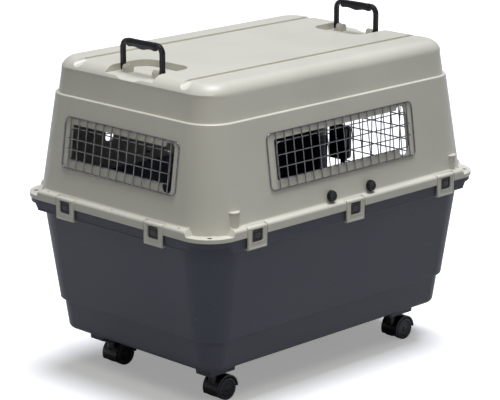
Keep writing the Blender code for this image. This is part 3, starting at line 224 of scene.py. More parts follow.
CORNERS = [(x, y) for x in (-1, 1) for y in (-1, 1)]
LATCHES = [("rear", "a", -REAR_LATCH_PLACE), ("rear", "c", REAR_LATCH_PLACE)]
LATCHES += [
    (side, mark, u) for side in ("left", "right")
    for mark, u in (("a", -SIDE_LATCH_PLACE), ("b", 0.0), ("c", SIDE_LATCH_PLACE))
]
KNOBS = [
    (side, mark, u) for side in ("left", "right")
    for mark, u in (("a", -KNOB_PLACE), ("b", KNOB_PLACE))
]
CASTERS = {
    f"{end}_{side}": (x * CASTER_X, y * CASTER_Y)
    for end, y in (("front", -1), ("rear", 1)) for side, x in (("left", -1), ("right", 1))
}
SIDES = {
    "left": (Vector((0, -1, 0)), Vector((-1, 0, 0)), RIM_WIDTH / 2),
    "right": (Vector((0, 1, 0)), Vector((1, 0, 0)), RIM_WIDTH / 2),
    "rear": (Vector((-1, 0, 0)), Vector((0, 1, 0)), RIM_LENGTH / 2),
}


def side_frame(side, up, normal, origin):
    """A frame with u to the viewer's right, v up and w outwards."""
    matrix = Matrix((SIDES[side][0], up, normal)).transposed().to_4x4()
    matrix.translation = origin
    return matrix


def rim_matrix(side):
    """Frame of a rim side, on the rim's outer face."""
    _, out, reach = SIDES[side]
    return side_frame(side, Vector((0, 0, 1)), out, out * reach)


def wall_matrix(side):
    """Frame of a shell wall, whose v runs up the slope."""
    _, out, reach = SIDES[side]
    up = (Vector((0, 0, 1)) - out * SHELL_DRAFT).normalized()
    normal = (out + Vector((0, 0, SHELL_DRAFT))).normalized()
    return side_frame(side, up, normal, out * (reach - WALL_SET_IN) + Vector((0, 0, PARTING)))


def knob_matrix(side, u):
    return wall_matrix(side) @ Matrix.Translation((u, KNOB_RISE * SLOPE, 0))


# Node building

def new_group(name, kind, inputs, outputs):
    """A node group with named sockets, and its input and output nodes."""
    tree = bpy.data.node_groups.new(name, kind)
    for label, socket, value in inputs:
        made = tree.interface.new_socket(label, in_out="INPUT", socket_type="NodeSocket" + socket)
        if value is not None:
            made.default_value = value
    for label, socket in outputs:
        tree.interface.new_socket(label, in_out="OUTPUT", socket_type="NodeSocket" + socket)
    start = tree.nodes.new("NodeGroupInput")
    end = tree.nodes.new("NodeGroupOutput")
    return tree, start.outputs, end.inputs


def add_node(tree, kind, inputs=None, **settings):
    """A node with its settings, and its inputs set to values or linked to sockets."""
    made = tree.nodes.new(kind)
    for key, value in settings.items():
        setattr(made, key, value)
    for key, value in (inputs or {}).items():
        if isinstance(value, bpy.types.NodeSocket):
            tree.links.new(value, made.inputs[key])
        else:
            made.inputs[key].default_value = value
    return made


def maths(tree, operation, first, second=None, clamp=False):
    inputs = {0: first} if second is None else {0: first, 1: second}
    return add_node(tree, "ShaderNodeMath", inputs, operation=operation, use_clamp=clamp).outputs[0]


def mix_colours(tree, share, first, second):
    return add_node(tree, "ShaderNodeMix", {0: share, 6: first, 7: second}, data_type="RGBA").outputs[2]


def noise(tree, place, scale, detail):
    made = add_node(tree, "ShaderNodeTexNoise", {"Vector": place, "Scale": scale, "Detail": detail})
    return made.outputs["Fac"]


def spread(tree, value, low, high, to_low=0.0, to_high=1.0):
    """A value between two ends, spread between two others and clamped there."""
    inputs = {"Value": value, "From Min": low, "From Max": high, "To Min": to_low, "To Max": to_high}
    return add_node(tree, "ShaderNodeMapRange", inputs).outputs[0]


def object_place(tree):
    return add_node(tree, "ShaderNodeTexCoord").outputs["Object"]


def moulding_group():
    """Moulded plastic: slow drifts of tone, a fine pebbled skin and faint scuffs."""
    tree, given, result = new_group(
        "moulded_plastic", "ShaderNodeTree",
        [
            ("Colour", "Color", (0.5, 0.5, 0.5, 1)), ("Scuff Colour", "Color", (0.6, 0.6, 0.6, 1)),
            ("Roughness", "Float", 0.45), ("Pebble Size", "Float", 0.0012), ("Scuffs", "Float", 0.3),
        ],
        [("Colour", "Color"), ("Roughness", "Float"), ("Height", "Float")],
    )
    place = object_place(tree)
    drift = noise(tree, place, 3.5, 2.0)
    scale = maths(tree, "DIVIDE", 1.0, given["Pebble Size"])
    pebble = add_node(
        tree, "ShaderNodeTexVoronoi", {"Vector": place, "Scale": scale}, feature="SMOOTH_F1"
    )
    pebble.inputs["Smoothness"].default_value = 0.6
    stretched = add_node(tree, "ShaderNodeMapping", {"Vector": place, "Scale": (40.0, 40.0, 160.0)})
    scuff = spread(tree, noise(tree, stretched.outputs[0], 1.0, 4.0), 0.62, 0.78)
    scuff = maths(tree, "MULTIPLY", scuff, given["Scuffs"])
    toned = add_node(tree, "ShaderNodeVectorMath", {0: given["Colour"]}, operation="SCALE")
    tree.links.new(spread(tree, drift, 0.3, 0.7, 0.95, 1.04), toned.inputs["Scale"])
    colour = mix_colours(tree, scuff, toned.outputs[0], given["Scuff Colour"])
    rough = maths(tree, "MULTIPLY", maths(tree, "SUBTRACT", drift, 0.5), 0.12)
    rough = maths(tree, "ADD", given["Roughness"], rough)
    rough = maths(tree, "ADD", rough, maths(tree, "MULTIPLY", scuff, 0.15), clamp=True)
    tree.links.new(colour, result["Colour"])
    tree.links.new(rough, result["Roughness"])
    tree.links.new(pebble.outputs["Distance"], result["Height"])
    return tree


def edge_group():
    """Rounded edges for the light to catch, and a mask of their worn places together with a painted
    highlight along every edge.
    """
    tree, given, result = new_group(
        "rounded_edges", "ShaderNodeTree",
        [("Radius", "Float", 0.001), ("Wear", "Float", 0.3), ("Lift", "Float", 0.2)],
        [("Normal", "Vector"), ("Wear And Highlight", "Float")],
    )
    rounded = add_node(tree, "ShaderNodeBevel", {"Radius": given["Radius"]}, samples=4).outputs[0]
    plain = add_node(tree, "ShaderNodeNewGeometry").outputs["Normal"]
    turn = add_node(tree, "ShaderNodeVectorMath", {0: rounded, 1: plain}, operation="DOT_PRODUCT")
    edge = spread(tree, turn.outputs["Value"], 0.99, 0.75)
    broken = spread(tree, noise(tree, object_place(tree), 38.0, 4.0), 0.40, 0.62)
    share = maths(tree, "MULTIPLY", broken, given["Wear"])
    # Besides the patches of real wear, every edge gets a fixed share of the lighter tone: a painted
    # highlight
    share = maths(tree, "ADD", share, given["Lift"], clamp=True)
    tree.links.new(rounded, result["Normal"])
    tree.links.new(maths(tree, "MULTIPLY", edge, share), result["Wear And Highlight"])
    return tree


MOULDING = moulding_group()
EDGES = edge_group()


def new_material(name, colour):
    """A material, its node tree and the inputs of its shader."""
    made = bpy.data.materials.new(name)
    made.use_nodes = True
    made.diffuse_color = (*colour, 1)
    return made, made.node_tree, made.node_tree.nodes["Principled BSDF"].inputs


def plastic(name, colour, scuff_and_highlight_colour, roughness, pebble, bump, scuffs, radius, painted_highlight, specular):
    """A moulded plastic, with its own colour, grain, gloss and edges; its edges carry wear and a painted
    highlight.
    """
    made, tree, shader = new_material(name, colour)
    wear_and_highlight_tone = (*scuff_and_highlight_colour, 1)
    skin = add_node(
        tree, "ShaderNodeGroup",
        {"Colour": (*colour, 1), "Scuff Colour": wear_and_highlight_tone, "Roughness": roughness,
         "Pebble Size": pebble, "Scuffs": scuffs},
        node_tree=MOULDING,
    ).outputs
    rim = add_node(
        tree, "ShaderNodeGroup", {"Radius": radius, "Wear": scuffs, "Lift": painted_highlight}, node_tree=EDGES
    ).outputs
    relief = add_node(
        tree, "ShaderNodeBump",
        {"Height": skin["Height"], "Strength": 0.35, "Distance": bump, "Normal": rim["Normal"]},
    )
    # Edges turn to the lighter tone: real wear in patches, and a painted highlight all along them
    tree.links.new(mix_colours(tree, rim["Wear And Highlight"], skin["Colour"], wear_and_highlight_tone), shader["Base Color"])
    tree.links.new(skin["Roughness"], shader["Roughness"])
    tree.links.new(relief.outputs[0], shader["Normal"])
    shader["IOR"].default_value = 1.5
    shader["Specular IOR Level"].default_value = specular
    return made


def wire_steel(name, colour, roughness):
    """Drawn steel wire, dull plated, with darker patches."""
    made, tree, shader = new_material(name, colour)
    place = object_place(tree)
    shade = spread(tree, noise(tree, place, 60.0, 3.0), 0.35, 0.65)
    fine = noise(tree, place, 900.0, 2.0)
    dark = (*(c * 0.72 for c in colour), 1)
    relief = add_node(tree, "ShaderNodeBump", {"Height": fine, "Strength": 0.2, "Distance": 0.0002})
    tree.links.new(mix_colours(tree, shade, dark, (*colour, 1)), shader["Base Color"])
    tree.links.new(spread(tree, fine, 0.3, 0.7, roughness - 0.08, roughness + 0.10), shader["Roughness"])
    tree.links.new(relief.outputs[0], shader["Normal"])
    shader["Metallic"].default_value = 1.0
    return made


# Each plastic's ninth number is the painted highlight along its edges; its second colour serves its scuffs,
# its edge wear and that painted highlight
MATERIALS = {
    "cream": plastic(
        "cream_plastic", (0.605, 0.588, 0.505), (0.74, 0.73, 0.69), 0.38,
        0.0011, 0.00020, 0.12, 0.0014, 0.30, 0.45,
    ),
    "slate": plastic(
        "slate_plastic", (0.045, 0.050, 0.068), (0.125, 0.132, 0.155), 0.50,
        0.0013, 0.00030, 0.25, 0.0018, 0.70, 0.30,
    ),
    "black": plastic(
        "black_plastic", (0.008, 0.008, 0.010), (0.05, 0.05, 0.058), 0.33,
        0.0009, 0.00014, 0.20, 0.0006, 0.20, 0.30,
    ),
    "wheel": plastic(
        "wheel_plastic", (0.044, 0.047, 0.066), (0.09, 0.094, 0.12), 0.46,
        0.0010, 0.00020, 0.40, 0.0006, 0.25, 0.28,
    ),
    "wire": wire_steel("grille_wire", (0.20, 0.20, 0.215), 0.25),
    "steel": wire_steel("bright_steel", (0.50, 0.50, 0.52), 0.30),
}
SLOTS = {
    "cream": "shell_plastic", "slate": "tub_plastic", "black": "black_plastic",
    "wheel": "wheel_plastic", "wire": "wire", "steel": "steel",
}
BODY_OF = {
    node: body
    for body, members in frame["record"]["behaviour"]["bodies"].items()
    for node in members
}
SLOT_OF = {entry["node"]: entry["material_slot"] for entry in frame["record"]["subparts"]}
FINISH_OF_SLOT = {slot: finish for finish, slot in SLOTS.items()}


def finish_of(node):
    """The finish of a CAD node, from its material slot in the record."""
    return FINISH_OF_SLOT.get(SLOT_OF.get(node), "black")


def dress(obj, body, finish, *nodes):
    """Puts a finished piece on its body, in place of the CAD nodes that it stands for."""
    obj.data.materials.clear()
    obj.data.materials.append(MATERIALS[finish])
    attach(obj, body)
    if nodes:
        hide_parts(*nodes)
    return obj


# Mesh building

def new_object(name, data):
    obj = bpy.data.objects.new(name, data)
    bpy.context.scene.collection.objects.link(obj)
    return obj


def apply_modifiers(obj):
    """Turns a modified object into a plain mesh that lies at the origin."""
    graph = bpy.context.evaluated_depsgraph_get()
    mesh = bpy.data.meshes.new_from_object(obj.evaluated_get(graph))
    mesh.transform(obj.matrix_world)
    obj.modifiers.clear()
    old = obj.data
    obj.data = mesh
    obj.matrix_world = Matrix.Identity(4)
    bpy.data.meshes.remove(old)
    mesh.name = obj.name
    return obj


def shade(mesh, angle):
    """Smooth shading, with edges above an angle in degrees left sharp."""
    mesh.shade_smooth()
    mesh.set_sharp_from_angle(angle=math.radians(angle))


def join_flats(source, mesh, weld, flat):
    """Fills a mesh from another, with doubles merged and flat faces joined."""
    bm = bmesh.new()
    bm.from_mesh(source)
    bmesh.ops.remove_doubles(bm, verts=bm.verts, dist=weld)
    bmesh.ops.dissolve_limit(bm, angle_limit=math.radians(flat), verts=bm.verts, edges=bm.edges)
    bm.to_mesh(mesh)
    bm.free()


def add_bevel(obj, width, segments, angle, harden):
    bevel = obj.modifiers.new("edges", "BEVEL")
    bevel.width = width
    bevel.segments = segments
    bevel.limit_method = "ANGLE"
    bevel.angle_limit = math.radians(angle)
    bevel.use_clamp_overlap = True
    bevel.harden_normals = harden


def finish_piece(obj, node):
    """Weighs the normals of a piece, makes it plain mesh and dresses it for its node."""
    weigh = obj.modifiers.new("normals", "WEIGHTED_NORMAL")
    weigh.keep_sharp = True
    weigh.weight = 70
    apply_modifiers(obj)
    dress(obj, BODY_OF[node], finish_of(node), node)


def refine(node, edge=0.0004, angle=32):
    """A copy of a CAD node with joined faces, rounded edges and smooth shading."""
    mesh = bpy.data.meshes.new(node + "_finished")
    join_flats(frame["nodes"][node].data, mesh, 0.00002, 0.4)
    obj = new_object(node + "_finished", mesh)
    shade(mesh, angle)
    add_bevel(obj, edge, 2, angle, True)
    finish_piece(obj, node)


def dress_moulding(obj, node):
    """Joins the flat faces of a moulding, shades it and puts it in its node's place."""
    join_flats(obj.data, obj.data, 0.00001, 0.3)
    shade(obj.data, MOULDING_SHARP)
    finish_piece(obj, node)


def round_edges(obj, width, segments=2, angle=35):
    """Bevels the sharp edges of a solid and shades it smooth."""
    join_flats(obj.data, obj.data, 0.00001, 0.5)
    add_bevel(obj, width, segments, angle, False)
    apply_modifiers(obj)
    shade(obj.data, angle)
    return obj


def arc(centre_u, centre_v, radius, start, end, steps):
    """Points of an arc in degrees, both ends included."""
    angles = [math.radians(start + (end - start) * i / steps) for i in range(steps + 1)]
    return [(centre_u + radius * math.cos(a), centre_v + radius * math.sin(a)) for a in angles]


def rounded_outline(low_u, low_v, high_u, high_v, radius, steps=CORNER_STEPS):
    """Anticlockwise outline of a rounded rectangle."""
    points = []
    corners = (
        (high_u - radius, high_v - radius), (low_u + radius, high_v - radius),
        (low_u + radius, low_v + radius), (high_u - radius, low_v + radius),
    )
    for turn, (u, v) in enumerate(corners):
        points += arc(u, v, radius, 90 * turn, 90 * turn + 90, steps)
    return points


def add_loft(bm, rings):
    """A closed skin through rings of equal count; a ring of one point is a pole."""
    rows = [[bm.verts.new(point) for point in ring] for ring in rings]
    count = max(len(row) for row in rows)
    for below, above in zip(rows, rows[1:]):
        for i in range(count):
            after = (i + 1) % count
            corners = [below[i % len(below)], below[after % len(below)]]
            corners += [above[after % len(above)], above[i % len(above)]]
            bm.faces.new([v for n, v in enumerate(corners) if v not in corners[:n]])
    for row in (rows[0], rows[-1]):
        if len(row) > 2:
            bm.faces.new(row)


def turned_rings(profile, facets):
    """Rings about local Z through (radius, z) points; a radius of 0 is a pole."""
    rings = []
    for radius, z in profile:
        angles = [2 * math.pi * i / facets for i in range(facets if radius else 1)]
        rings.append([(radius * math.cos(a), radius * math.sin(a), z) for a in angles])
    return rings


def turned_bar(radius, low, high, facets, matrix):
    """Rings of a round bar about local Z, with their points moved by a matrix."""
    rings = turned_rings(bar_profile(radius, low, high), facets)
    return [[matrix @ Vector(point) for point in ring] for ring in rings]


def bar_profile(radius, low, high):
    return [(0, low), (radius, low), (radius, high), (0, high)]


def solid(name, bm, angle=35):
    """An object from a mesh, with outward faces and smooth shading up to an angle."""
    bmesh.ops.recalc_face_normals(bm, faces=bm.faces)
    mesh = bpy.data.meshes.new(name)
    bm.to_mesh(mesh)
    bm.free()
    shade(mesh, angle)
    return new_object(name, mesh)


def lofted(name, rings, matrix=None, angle=35):
    """A solid through rings, placed by its object's matrix."""
    bm = bmesh.new()
    add_loft(bm, rings)
    made = solid(name, bm, angle)
    made.matrix_world = matrix or Matrix.Identity(4)
    return made


def turned(name, profile, facets, matrix=None, angle=35):
    return lofted(name, turned_rings(profile, facets), matrix, angle)


def prism(name, outline, low, high, axis="z", matrix=None):
    """An outline swept along an axis: (u, v) is (y, z) on x, (x, z) on y and (x, y) on z."""
    order = {"x": (2, 0, 1), "y": (0, 2, 1), "z": (0, 1, 2)}[axis]
    rings = [[[(u, v, w)[n] for n in order] for u, v in outline] for w in (low, high)]
    return lofted(name, rings, matrix)


def box(name, low, high, matrix=None):
    outline = [(low[0], low[1]), (high[0], low[1]), (high[0], high[1]), (low[0], high[1])]
    return prism(name, outline, low[2], high[2], "z", matrix)


def rod(name, radius, start, end, facets=20):
    """A round bar between two points."""
    start = Vector(start)
    along = Vector(end) - start
    matrix = Matrix.Translation(start) @ along.to_track_quat("Z", "Y").to_matrix().to_4x4()
    return turned(name, bar_profile(radius, 0, along.length), facets, matrix)


def combine(target, operation, *tools):
    """Joins solids to one, cuts them from it or keeps what they share, and removes them."""
    for tool in tools:
        stage = target.modifiers.new("combine", "BOOLEAN")
        stage.object = tool
        stage.operation = operation
        stage.solver = "EXACT"
        bpy.context.view_layer.update()
        apply_modifiers(target)
        bpy.data.objects.remove(tool)
    return target


def cut(target, *tools):
    return combine(target, "DIFFERENCE", *tools)


def join(target, *tools):
    return combine(target, "UNION", *tools)


def keep(target, tool):
    return combine(target, "INTERSECT", tool)


def placed_copy(name, pattern, matrix):
    """A copy of a pattern's mesh at a place, as an object at the origin."""
    mesh = pattern.data.copy()
    mesh.name = name
    mesh.transform(matrix)
    return new_object(name, mesh)


def stand_in(node, pattern, matrix, finish, suffix="_finished"):
    """A copy of a pattern, dressed in the place of a CAD node."""
    dress(placed_copy(node + suffix, pattern, matrix), BODY_OF[node], finish, node)


# Wires by Geometry Nodes

def wire_group(name, inputs):
    """A tree that adds wires to its geometry, with the inputs that all of them share."""
    shared = [("Radius", "Float", 0.0016), ("Sides", "Int", 12), ("Material", "Material", None)]
    inputs = [("Geometry", "Geometry", None)] + inputs + shared
    return new_group(name, "GeometryNodeTree", inputs, [("Geometry", "Geometry")])


def add_tube(tree, given, curve, caps):
    """A round tube along a curve."""
    ring = add_node(
        tree, "GeometryNodeCurvePrimitiveCircle",
        {"Resolution": given["Sides"], "Radius": given["Radius"]},
    )
    inputs = {"Curve": curve, "Profile Curve": ring.outputs[0], "Fill Caps": caps}
    return add_node(tree, "GeometryNodeCurveToMesh", inputs).outputs[0]


def finish_group(tree, given, result, wires):
    """Adds the wires to the geometry, as real painted mesh."""
    joined = add_node(tree, "GeometryNodeJoinGeometry")
    tree.links.new(given["Geometry"], joined.inputs[0])
    tree.links.new(wires, joined.inputs[0])
    real = add_node(tree, "GeometryNodeRealizeInstances", {"Geometry": joined.outputs[0]})
    painted = add_node(
        tree, "GeometryNodeSetMaterial", {"Geometry": real.outputs[0], "Material": given["Material"]}
    )
    tree.links.new(painted.outputs[0], result["Geometry"])
    return tree


def rods_tree():
    """Adds a row of straight round rods to the geometry."""
    tree, given, result = wire_group("wire_rods", [
        ("Count", "Int", 2), ("First", "Vector", (0, 0, 0)), ("Step", "Vector", (0.03, 0, 0)),
        ("Span", "Vector", (0, 0.1, 0)),
    ])
    places = add_node(
        tree, "GeometryNodeMeshLine",
        {"Count": given["Count"], "Start Location": given["First"], "Offset": given["Step"]},
        mode="OFFSET",
    )
    line = add_node(tree, "GeometryNodeCurvePrimitiveLine", {"End": given["Span"]})
    tube = add_tube(tree, given, line.outputs[0], True)
    copies = add_node(tree, "GeometryNodeInstanceOnPoints", {"Points": places.outputs[0], "Instance": tube})
    return finish_group(tree, given, result, copies.outputs[0])


def loop_tree():
    """Adds a round wire bent to a rounded rectangle, with crimps along its two long runs."""
    tree, given, result = wire_group("wire_loop", [
        ("Width", "Float", 0.5), ("Height", "Float", 0.1), ("Corner", "Float", 0.015),
        ("Centre", "Vector", (0, 0, 0)), ("Crimp", "Float", 0.0), ("Crimp Pitch", "Float", 0.03),
        ("Crimp Start", "Float", 0.0),
    ])
    outline = add_node(
        tree, "GeometryNodeCurvePrimitiveQuadrilateral",
        {"Width": given["Width"], "Height": given["Height"]},
    )
    fillet = add_node(
        tree, "GeometryNodeFilletCurve",
        {"Curve": outline.outputs[0], "Radius": given["Corner"], "Count": 8, "Limit Radius": True},
        mode="POLY",
    )
    finer = add_node(
        tree, "GeometryNodeResampleCurve", {"Curve": fillet.outputs[0], "Length": 0.0022}, mode="LENGTH"
    )
    here = add_node(tree, "GeometryNodeInputPosition").outputs[0]
    where = add_node(tree, "ShaderNodeSeparateXYZ", {0: here}).outputs
    run = maths(tree, "SUBTRACT", maths(tree, "MULTIPLY", given["Height"], 0.5), 0.001)
    on_run = maths(tree, "GREATER_THAN", maths(tree, "ABSOLUTE", where[1]), run)
    middle = add_node(tree, "ShaderNodeSeparateXYZ", {0: given["Centre"]}).outputs[0]
    across = maths(tree, "SUBTRACT", maths(tree, "ADD", where[0], middle), given["Crimp Start"])
    phase = maths(tree, "MULTIPLY", maths(tree, "DIVIDE", across, given["Crimp Pitch"]), 2 * math.pi)
    wave = maths(tree, "MULTIPLY", maths(tree, "SUBTRACT", 1.0, maths(tree, "COSINE", phase)), 0.5)
    bent = maths(tree, "MULTIPLY", maths(tree, "MULTIPLY", wave, given["Crimp"]), on_run)
    shift = add_node(tree, "ShaderNodeCombineXYZ", {"Y": maths(tree, "MULTIPLY", bent, 0.45), "Z": bent})
    crimped = add_node(
        tree, "GeometryNodeSetPosition", {"Geometry": finer.outputs[0], "Offset": shift.outputs[0]}
    )
    placed = add_node(
        tree, "GeometryNodeTransform", {"Geometry": crimped.outputs[0], "Translation": given["Centre"]}
    )
    return finish_group(tree, given, result, add_tube(tree, given, placed.outputs[0], False))


RODS = rods_tree()
LOOP = loop_tree()


def wire_piece(name, matrix, stages):
    """A wire piece from its stages of rods and loops, made a plain mesh in place."""
    obj = new_object(name, bpy.data.meshes.new(name))
    obj.matrix_world = matrix
    for tree, values in stages:
        values["Material"] = MATERIALS["wire"]
        stage = obj.modifiers.new(tree.name, "NODES")
        stage.node_group = tree
        for item in tree.interface.items_tree:
            if item.in_out == "INPUT" and item.name in values:
                stage[item.identifier] = values[item.name]
    bpy.context.view_layer.update()
    apply_modifiers(obj)
    shade(obj.data, 50)
    return obj


def rods(count, first, step, span, radius):
    return RODS, {"Count": count, "First": first, "Step": step, "Span": span, "Radius": radius}


def loop(width, low, high, corner, centre, depth, radius, **crimps):
    place = (centre, (low + high) / 2, depth)
    sizes = {"Width": width, "Height": high - low, "Corner": corner, "Centre": place, "Radius": radius}
    return LOOP, {**sizes, **crimps}


def build_grille(side):
    """A window's grille: an outer frame, uprights, two bars and a crimped inner ring."""
    window = WINDOWS[side]
    wire = WIRE / 2
    thick = FRAME_WIRE / 2
    low, high, ring_low, ring_high = (
        window[key] * SLOPE for key in ("frame_low", "frame_high", "ring_low", "ring_high")
    )
    frame_w = GAP + thick
    upright_w = frame_w + thick + wire - WELD
    ring_w = upright_w - 2 * wire + WELD
    bar_w = upright_w + 2 * wire - WELD
    first, pitch = window["first"], window["pitch"]
    last = first + pitch * (window["columns"] - 1)
    third = (ring_high - ring_low) / 3
    over = 0.004
    stages = [
        rods(window["columns"], (first, low, upright_w), (pitch, 0, 0), (0, high - low, 0), wire),
        rods(2, (first - over, ring_low + third, bar_w), (0, third, 0),
             (last - first + 2 * over, 0, 0), wire),
        loop(window["frame_width"], low, high, 0.015, window["frame_centre"], frame_w, thick),
        loop(last - first, ring_low, ring_high, 0.012, (first + last) / 2, ring_w, wire,
             **{"Crimp": CRIMP, "Crimp Pitch": pitch, "Crimp Start": first}),
    ]
    obj = wire_piece(f"grille_{side}_wires", wall_matrix(side), stages)
    return dress(obj, "crate", "wire", f"grille_{side}")


def build_door():
    """The door: uprights, cross wires in front of them, and two heavy rods at its sides."""
    wire = DOOR_WIRE / 2
    heavy = DOOR_ROD / 2
    foot = DOOR_LOW - wire
    tall = DOOR_HIGH - DOOR_LOW + 2 * wire
    row_y = -DOOR_PLANE - 2 * wire + WELD
    reach = DOOR_ROD_REACH
    stages = [
        rods(DOOR_COLUMNS - 2, (-DOOR_HALF + DOOR_PITCH, -DOOR_PLANE, foot), (DOOR_PITCH, 0, 0),
             (0, 0, tall), wire),
        rods(1, (-DOOR_HALF, -DOOR_PLANE, DOOR_LOW - reach), (0, 0, 0),
             (0, 0, DOOR_HIGH - DOOR_LOW + 2 * reach), heavy),
        rods(1, (DOOR_HALF, -DOOR_PLANE, foot), (0, 0, 0), (0, 0, tall), heavy),
        rods(DOOR_ROWS, (-DOOR_HALF - heavy, row_y, DOOR_LOW), (0, 0, DOOR_ROW_PITCH),
             (2 * DOOR_HALF + 2 * heavy, 0, 0), wire),
    ]
    return dress(wire_piece("door_wires", Matrix.Identity(4), stages), "door", "wire", "door_panel")


# Shell and tub

def plan(height, shrink_x, shrink_y, radius):
    """A rounded outline of the crate in plan, set in from the rim."""
    half_x = RIM_WIDTH / 2 - shrink_x
    half_y = RIM_LENGTH / 2 - shrink_y
    return [(u, v, height) for u, v in rounded_outline(-half_x, -half_y, half_x, half_y, radius)]


def shell_section(height, inset=0.0):
    rise = height - PARTING
    shrink = WALL_SET_IN + SHELL_DRAFT * rise + inset
    radius = max(WALL_CORNER - SHELL_CORNER_DRAFT * rise - inset, LEAST_CORNER)
    return plan(height, shrink, shrink, radius)


def roof_section(height, inset, end_inset):
    """A section of the roof's rounding, whose ends have their own inset."""
    rise = ROOF_TOP - ROOF_ROUND - PARTING
    shrink = WALL_SET_IN + SHELL_DRAFT * rise
    radius = max(WALL_CORNER - SHELL_CORNER_DRAFT * rise - inset, LEAST_CORNER)
    return plan(height, shrink + inset, shrink + end_inset, radius)


def tub_section(height, inset=0.0):
    fall = PARTING - height
    shrink = WALL_SET_IN + TUB_DRAFT * fall + inset
    return plan(height, shrink, shrink, max(WALL_CORNER - TUB_CORNER_DRAFT * fall - inset, LEAST_CORNER))


def rim_section(height, inset=0.0):
    """A section of the rim, whose corners stand out past the walls."""
    return plan(height, inset, inset, RIM_CORNER - inset)


def roof_rings(inset=0.0):
    """The shell from below its shoulder up to the roof, with a slight crease at its ends."""
    above = SHOULDER_STEP + inset
    spring = ROOF_TOP - ROOF_ROUND
    radius = ROOF_ROUND - inset
    crease = CREASE - inset / 2
    rings = [
        shell_section(SHOULDER - SHOULDER_LIP - inset / 2, inset),
        shell_section(SHOULDER - inset / 2, SHOULDER_LIP + inset),
        shell_section(SHOULDER + 0.0008 - inset / 2, above),
        shell_section(spring, above),
    ]
    for degrees in (9, 17.8, 25, 33, 42, 51, 60, 69, 78, 90):
        angle = math.radians(degrees)
        height = spring + radius * math.sin(angle)
        share = max(0.0, (height - crease) / (ROOF_TOP - inset - crease))
        bend = CREASE_TILT * share + (1 - CREASE_TILT) * (1 - math.sqrt(max(0.0, 1 - share**2)))
        rings.append(roof_section(height, above + radius * (1 - math.cos(angle)), above + radius * bend))
    return rings


def tub_rings(inset=0.0):
    """The tub from its floor up to just above its step."""
    step = STEP_DEPTH + inset
    spring = UNDERSIDE + UNDERSIDE_ROUND
    radius = UNDERSIDE_ROUND - inset
    rings = []
    for index in range(9):
        angle = math.radians(90 * index / 8)
        level = tub_section(spring, step + radius * (1 - math.sin(angle)))
        rings.append([(u, v, spring - radius * math.cos(angle)) for u, v, _ in level])
    for rise, depth in ((-0.001, step), (0.001, 0.0015 + inset), (0.003, inset)):
        rings.append(tub_section(STEP_HEIGHT + rise + inset / 2, depth))
    return rings


def corner_blocks(levels):
    """Four blocks over the rim's corners; each level is a height and how far out its faces go."""
    for sign_x, sign_y in CORNERS:
        rings = []
        far_x = sign_x * (RIM_WIDTH / 2 + OVERSHOOT)
        far_y = sign_y * (RIM_LENGTH / 2 + OVERSHOOT)
        for height, out in levels:
            near_x = sign_x * (RIM_WIDTH / 2 - LEDGE_REACH + out)
            near_y = sign_y * (RIM_LENGTH / 2 - LEDGE_REACH + out)
            ring = [(near_x, near_y), (far_x, near_y), (far_x, far_y), (near_x, far_y)]
            rings.append([(u, v, height) for u, v in ring])
        yield lofted("corner", rings)


def ledge_blocks(bottom, offset):
    """Blocks over the corner ledges, whose curved step lies further in by the offset."""
    above = [
        (LEDGE_TOP, 0.0), (LEDGE_TOP + CORNER_DROP * 0.2, 0.25), (LEDGE_TOP + CORNER_DROP * 0.76, 0.7),
        (RIM_TOP, 1.0), (RIM_TOP + 2 * OVERSHOOT, 1.2),
    ]
    levels = [(bottom, 0.0)] + [level for level in above if level[0] > bottom]
    return corner_blocks([(height, -offset - LEDGE_CURVE * share) for height, share in levels])


def rim_hole(x, y, size, facets):
    """A cutter straight up through the flange and the rim."""
    foot = Vector((x, y, FLANGE_LOW - OVERSHOOT))
    return rod("hole", size / 2, foot, foot + Vector((0, 0, RIM_HOLE_LENGTH)), facets)


def rim_holes():
    """Cutters for the hole in each corner ledge, and for the bolt holes along the rear rim."""
    bulge = 1 - math.sqrt(0.5)
    middle = (WALL_SET_IN + bulge * (WALL_CORNER + RIM_CORNER)) / 2
    for x, y in CORNERS:
        yield rim_hole(x * (RIM_WIDTH / 2 - middle), y * (RIM_LENGTH / 2 - middle), TIE_HOLE, 28)
    for x in (-RIM_BOLT_PLACE, 0.0, RIM_BOLT_PLACE):
        yield rim_hole(x, RIM_LENGTH / 2 - WALL_SET_IN * RIM_BOLT_SHARE, RIM_BOLT_HOLE, 16)


def doorway_outline(border, corner):
    """The door opening, grown by a border on every side."""
    left, low, right, high = DOORWAY
    return rounded_outline(left - border, low - border, right + border, high + border, corner)


def door_bay(inset, low, high):
    """The moulded surround that stands out round the doorway, between two heights."""
    rings = []
    for y, flare in ((-BAY_FACE + inset, 0.0), (-BAY_FACE + BAY_REACH, BAY_FLARE)):
        outline = doorway_outline(BAY_BORDER + flare - inset, BAY_CORNER + flare - inset)
        rings.append([(u, y, v) for u, v in outline])
    reach = RIM_LENGTH
    return keep(lofted("bay", rings), box("slice", (-reach, -reach, low), (reach, reach, high)))


def door_jamb():
    """The solid edge of the doorway, which holds the pins of the door."""
    outline = doorway_outline(JAMB_BORDER, DOORWAY_CORNER + JAMB_BORDER)
    return prism("jamb", outline, -BAY_FACE, -BAY_FACE + JAMB_DEPTH, "y")


def doorway_cutter():
    outline = doorway_outline(0.0, DOORWAY_CORNER)
    return prism("doorway", outline, -BAY_FACE - OVERSHOOT, -BAY_FACE + BAY_REACH, "y")


def bay_trim():
    """Cuts the rim back to the face of the surround."""
    return box(
        "bay_trim",
        (DOORWAY[0] - BAY_BORDER, -RIM_LENGTH / 2 - OVERSHOOT, FLANGE_LOW - OVERSHOOT),
        (DOORWAY[2] + BAY_BORDER, -BAY_FACE, RIM_TOP + OVERSHOOT),
    )


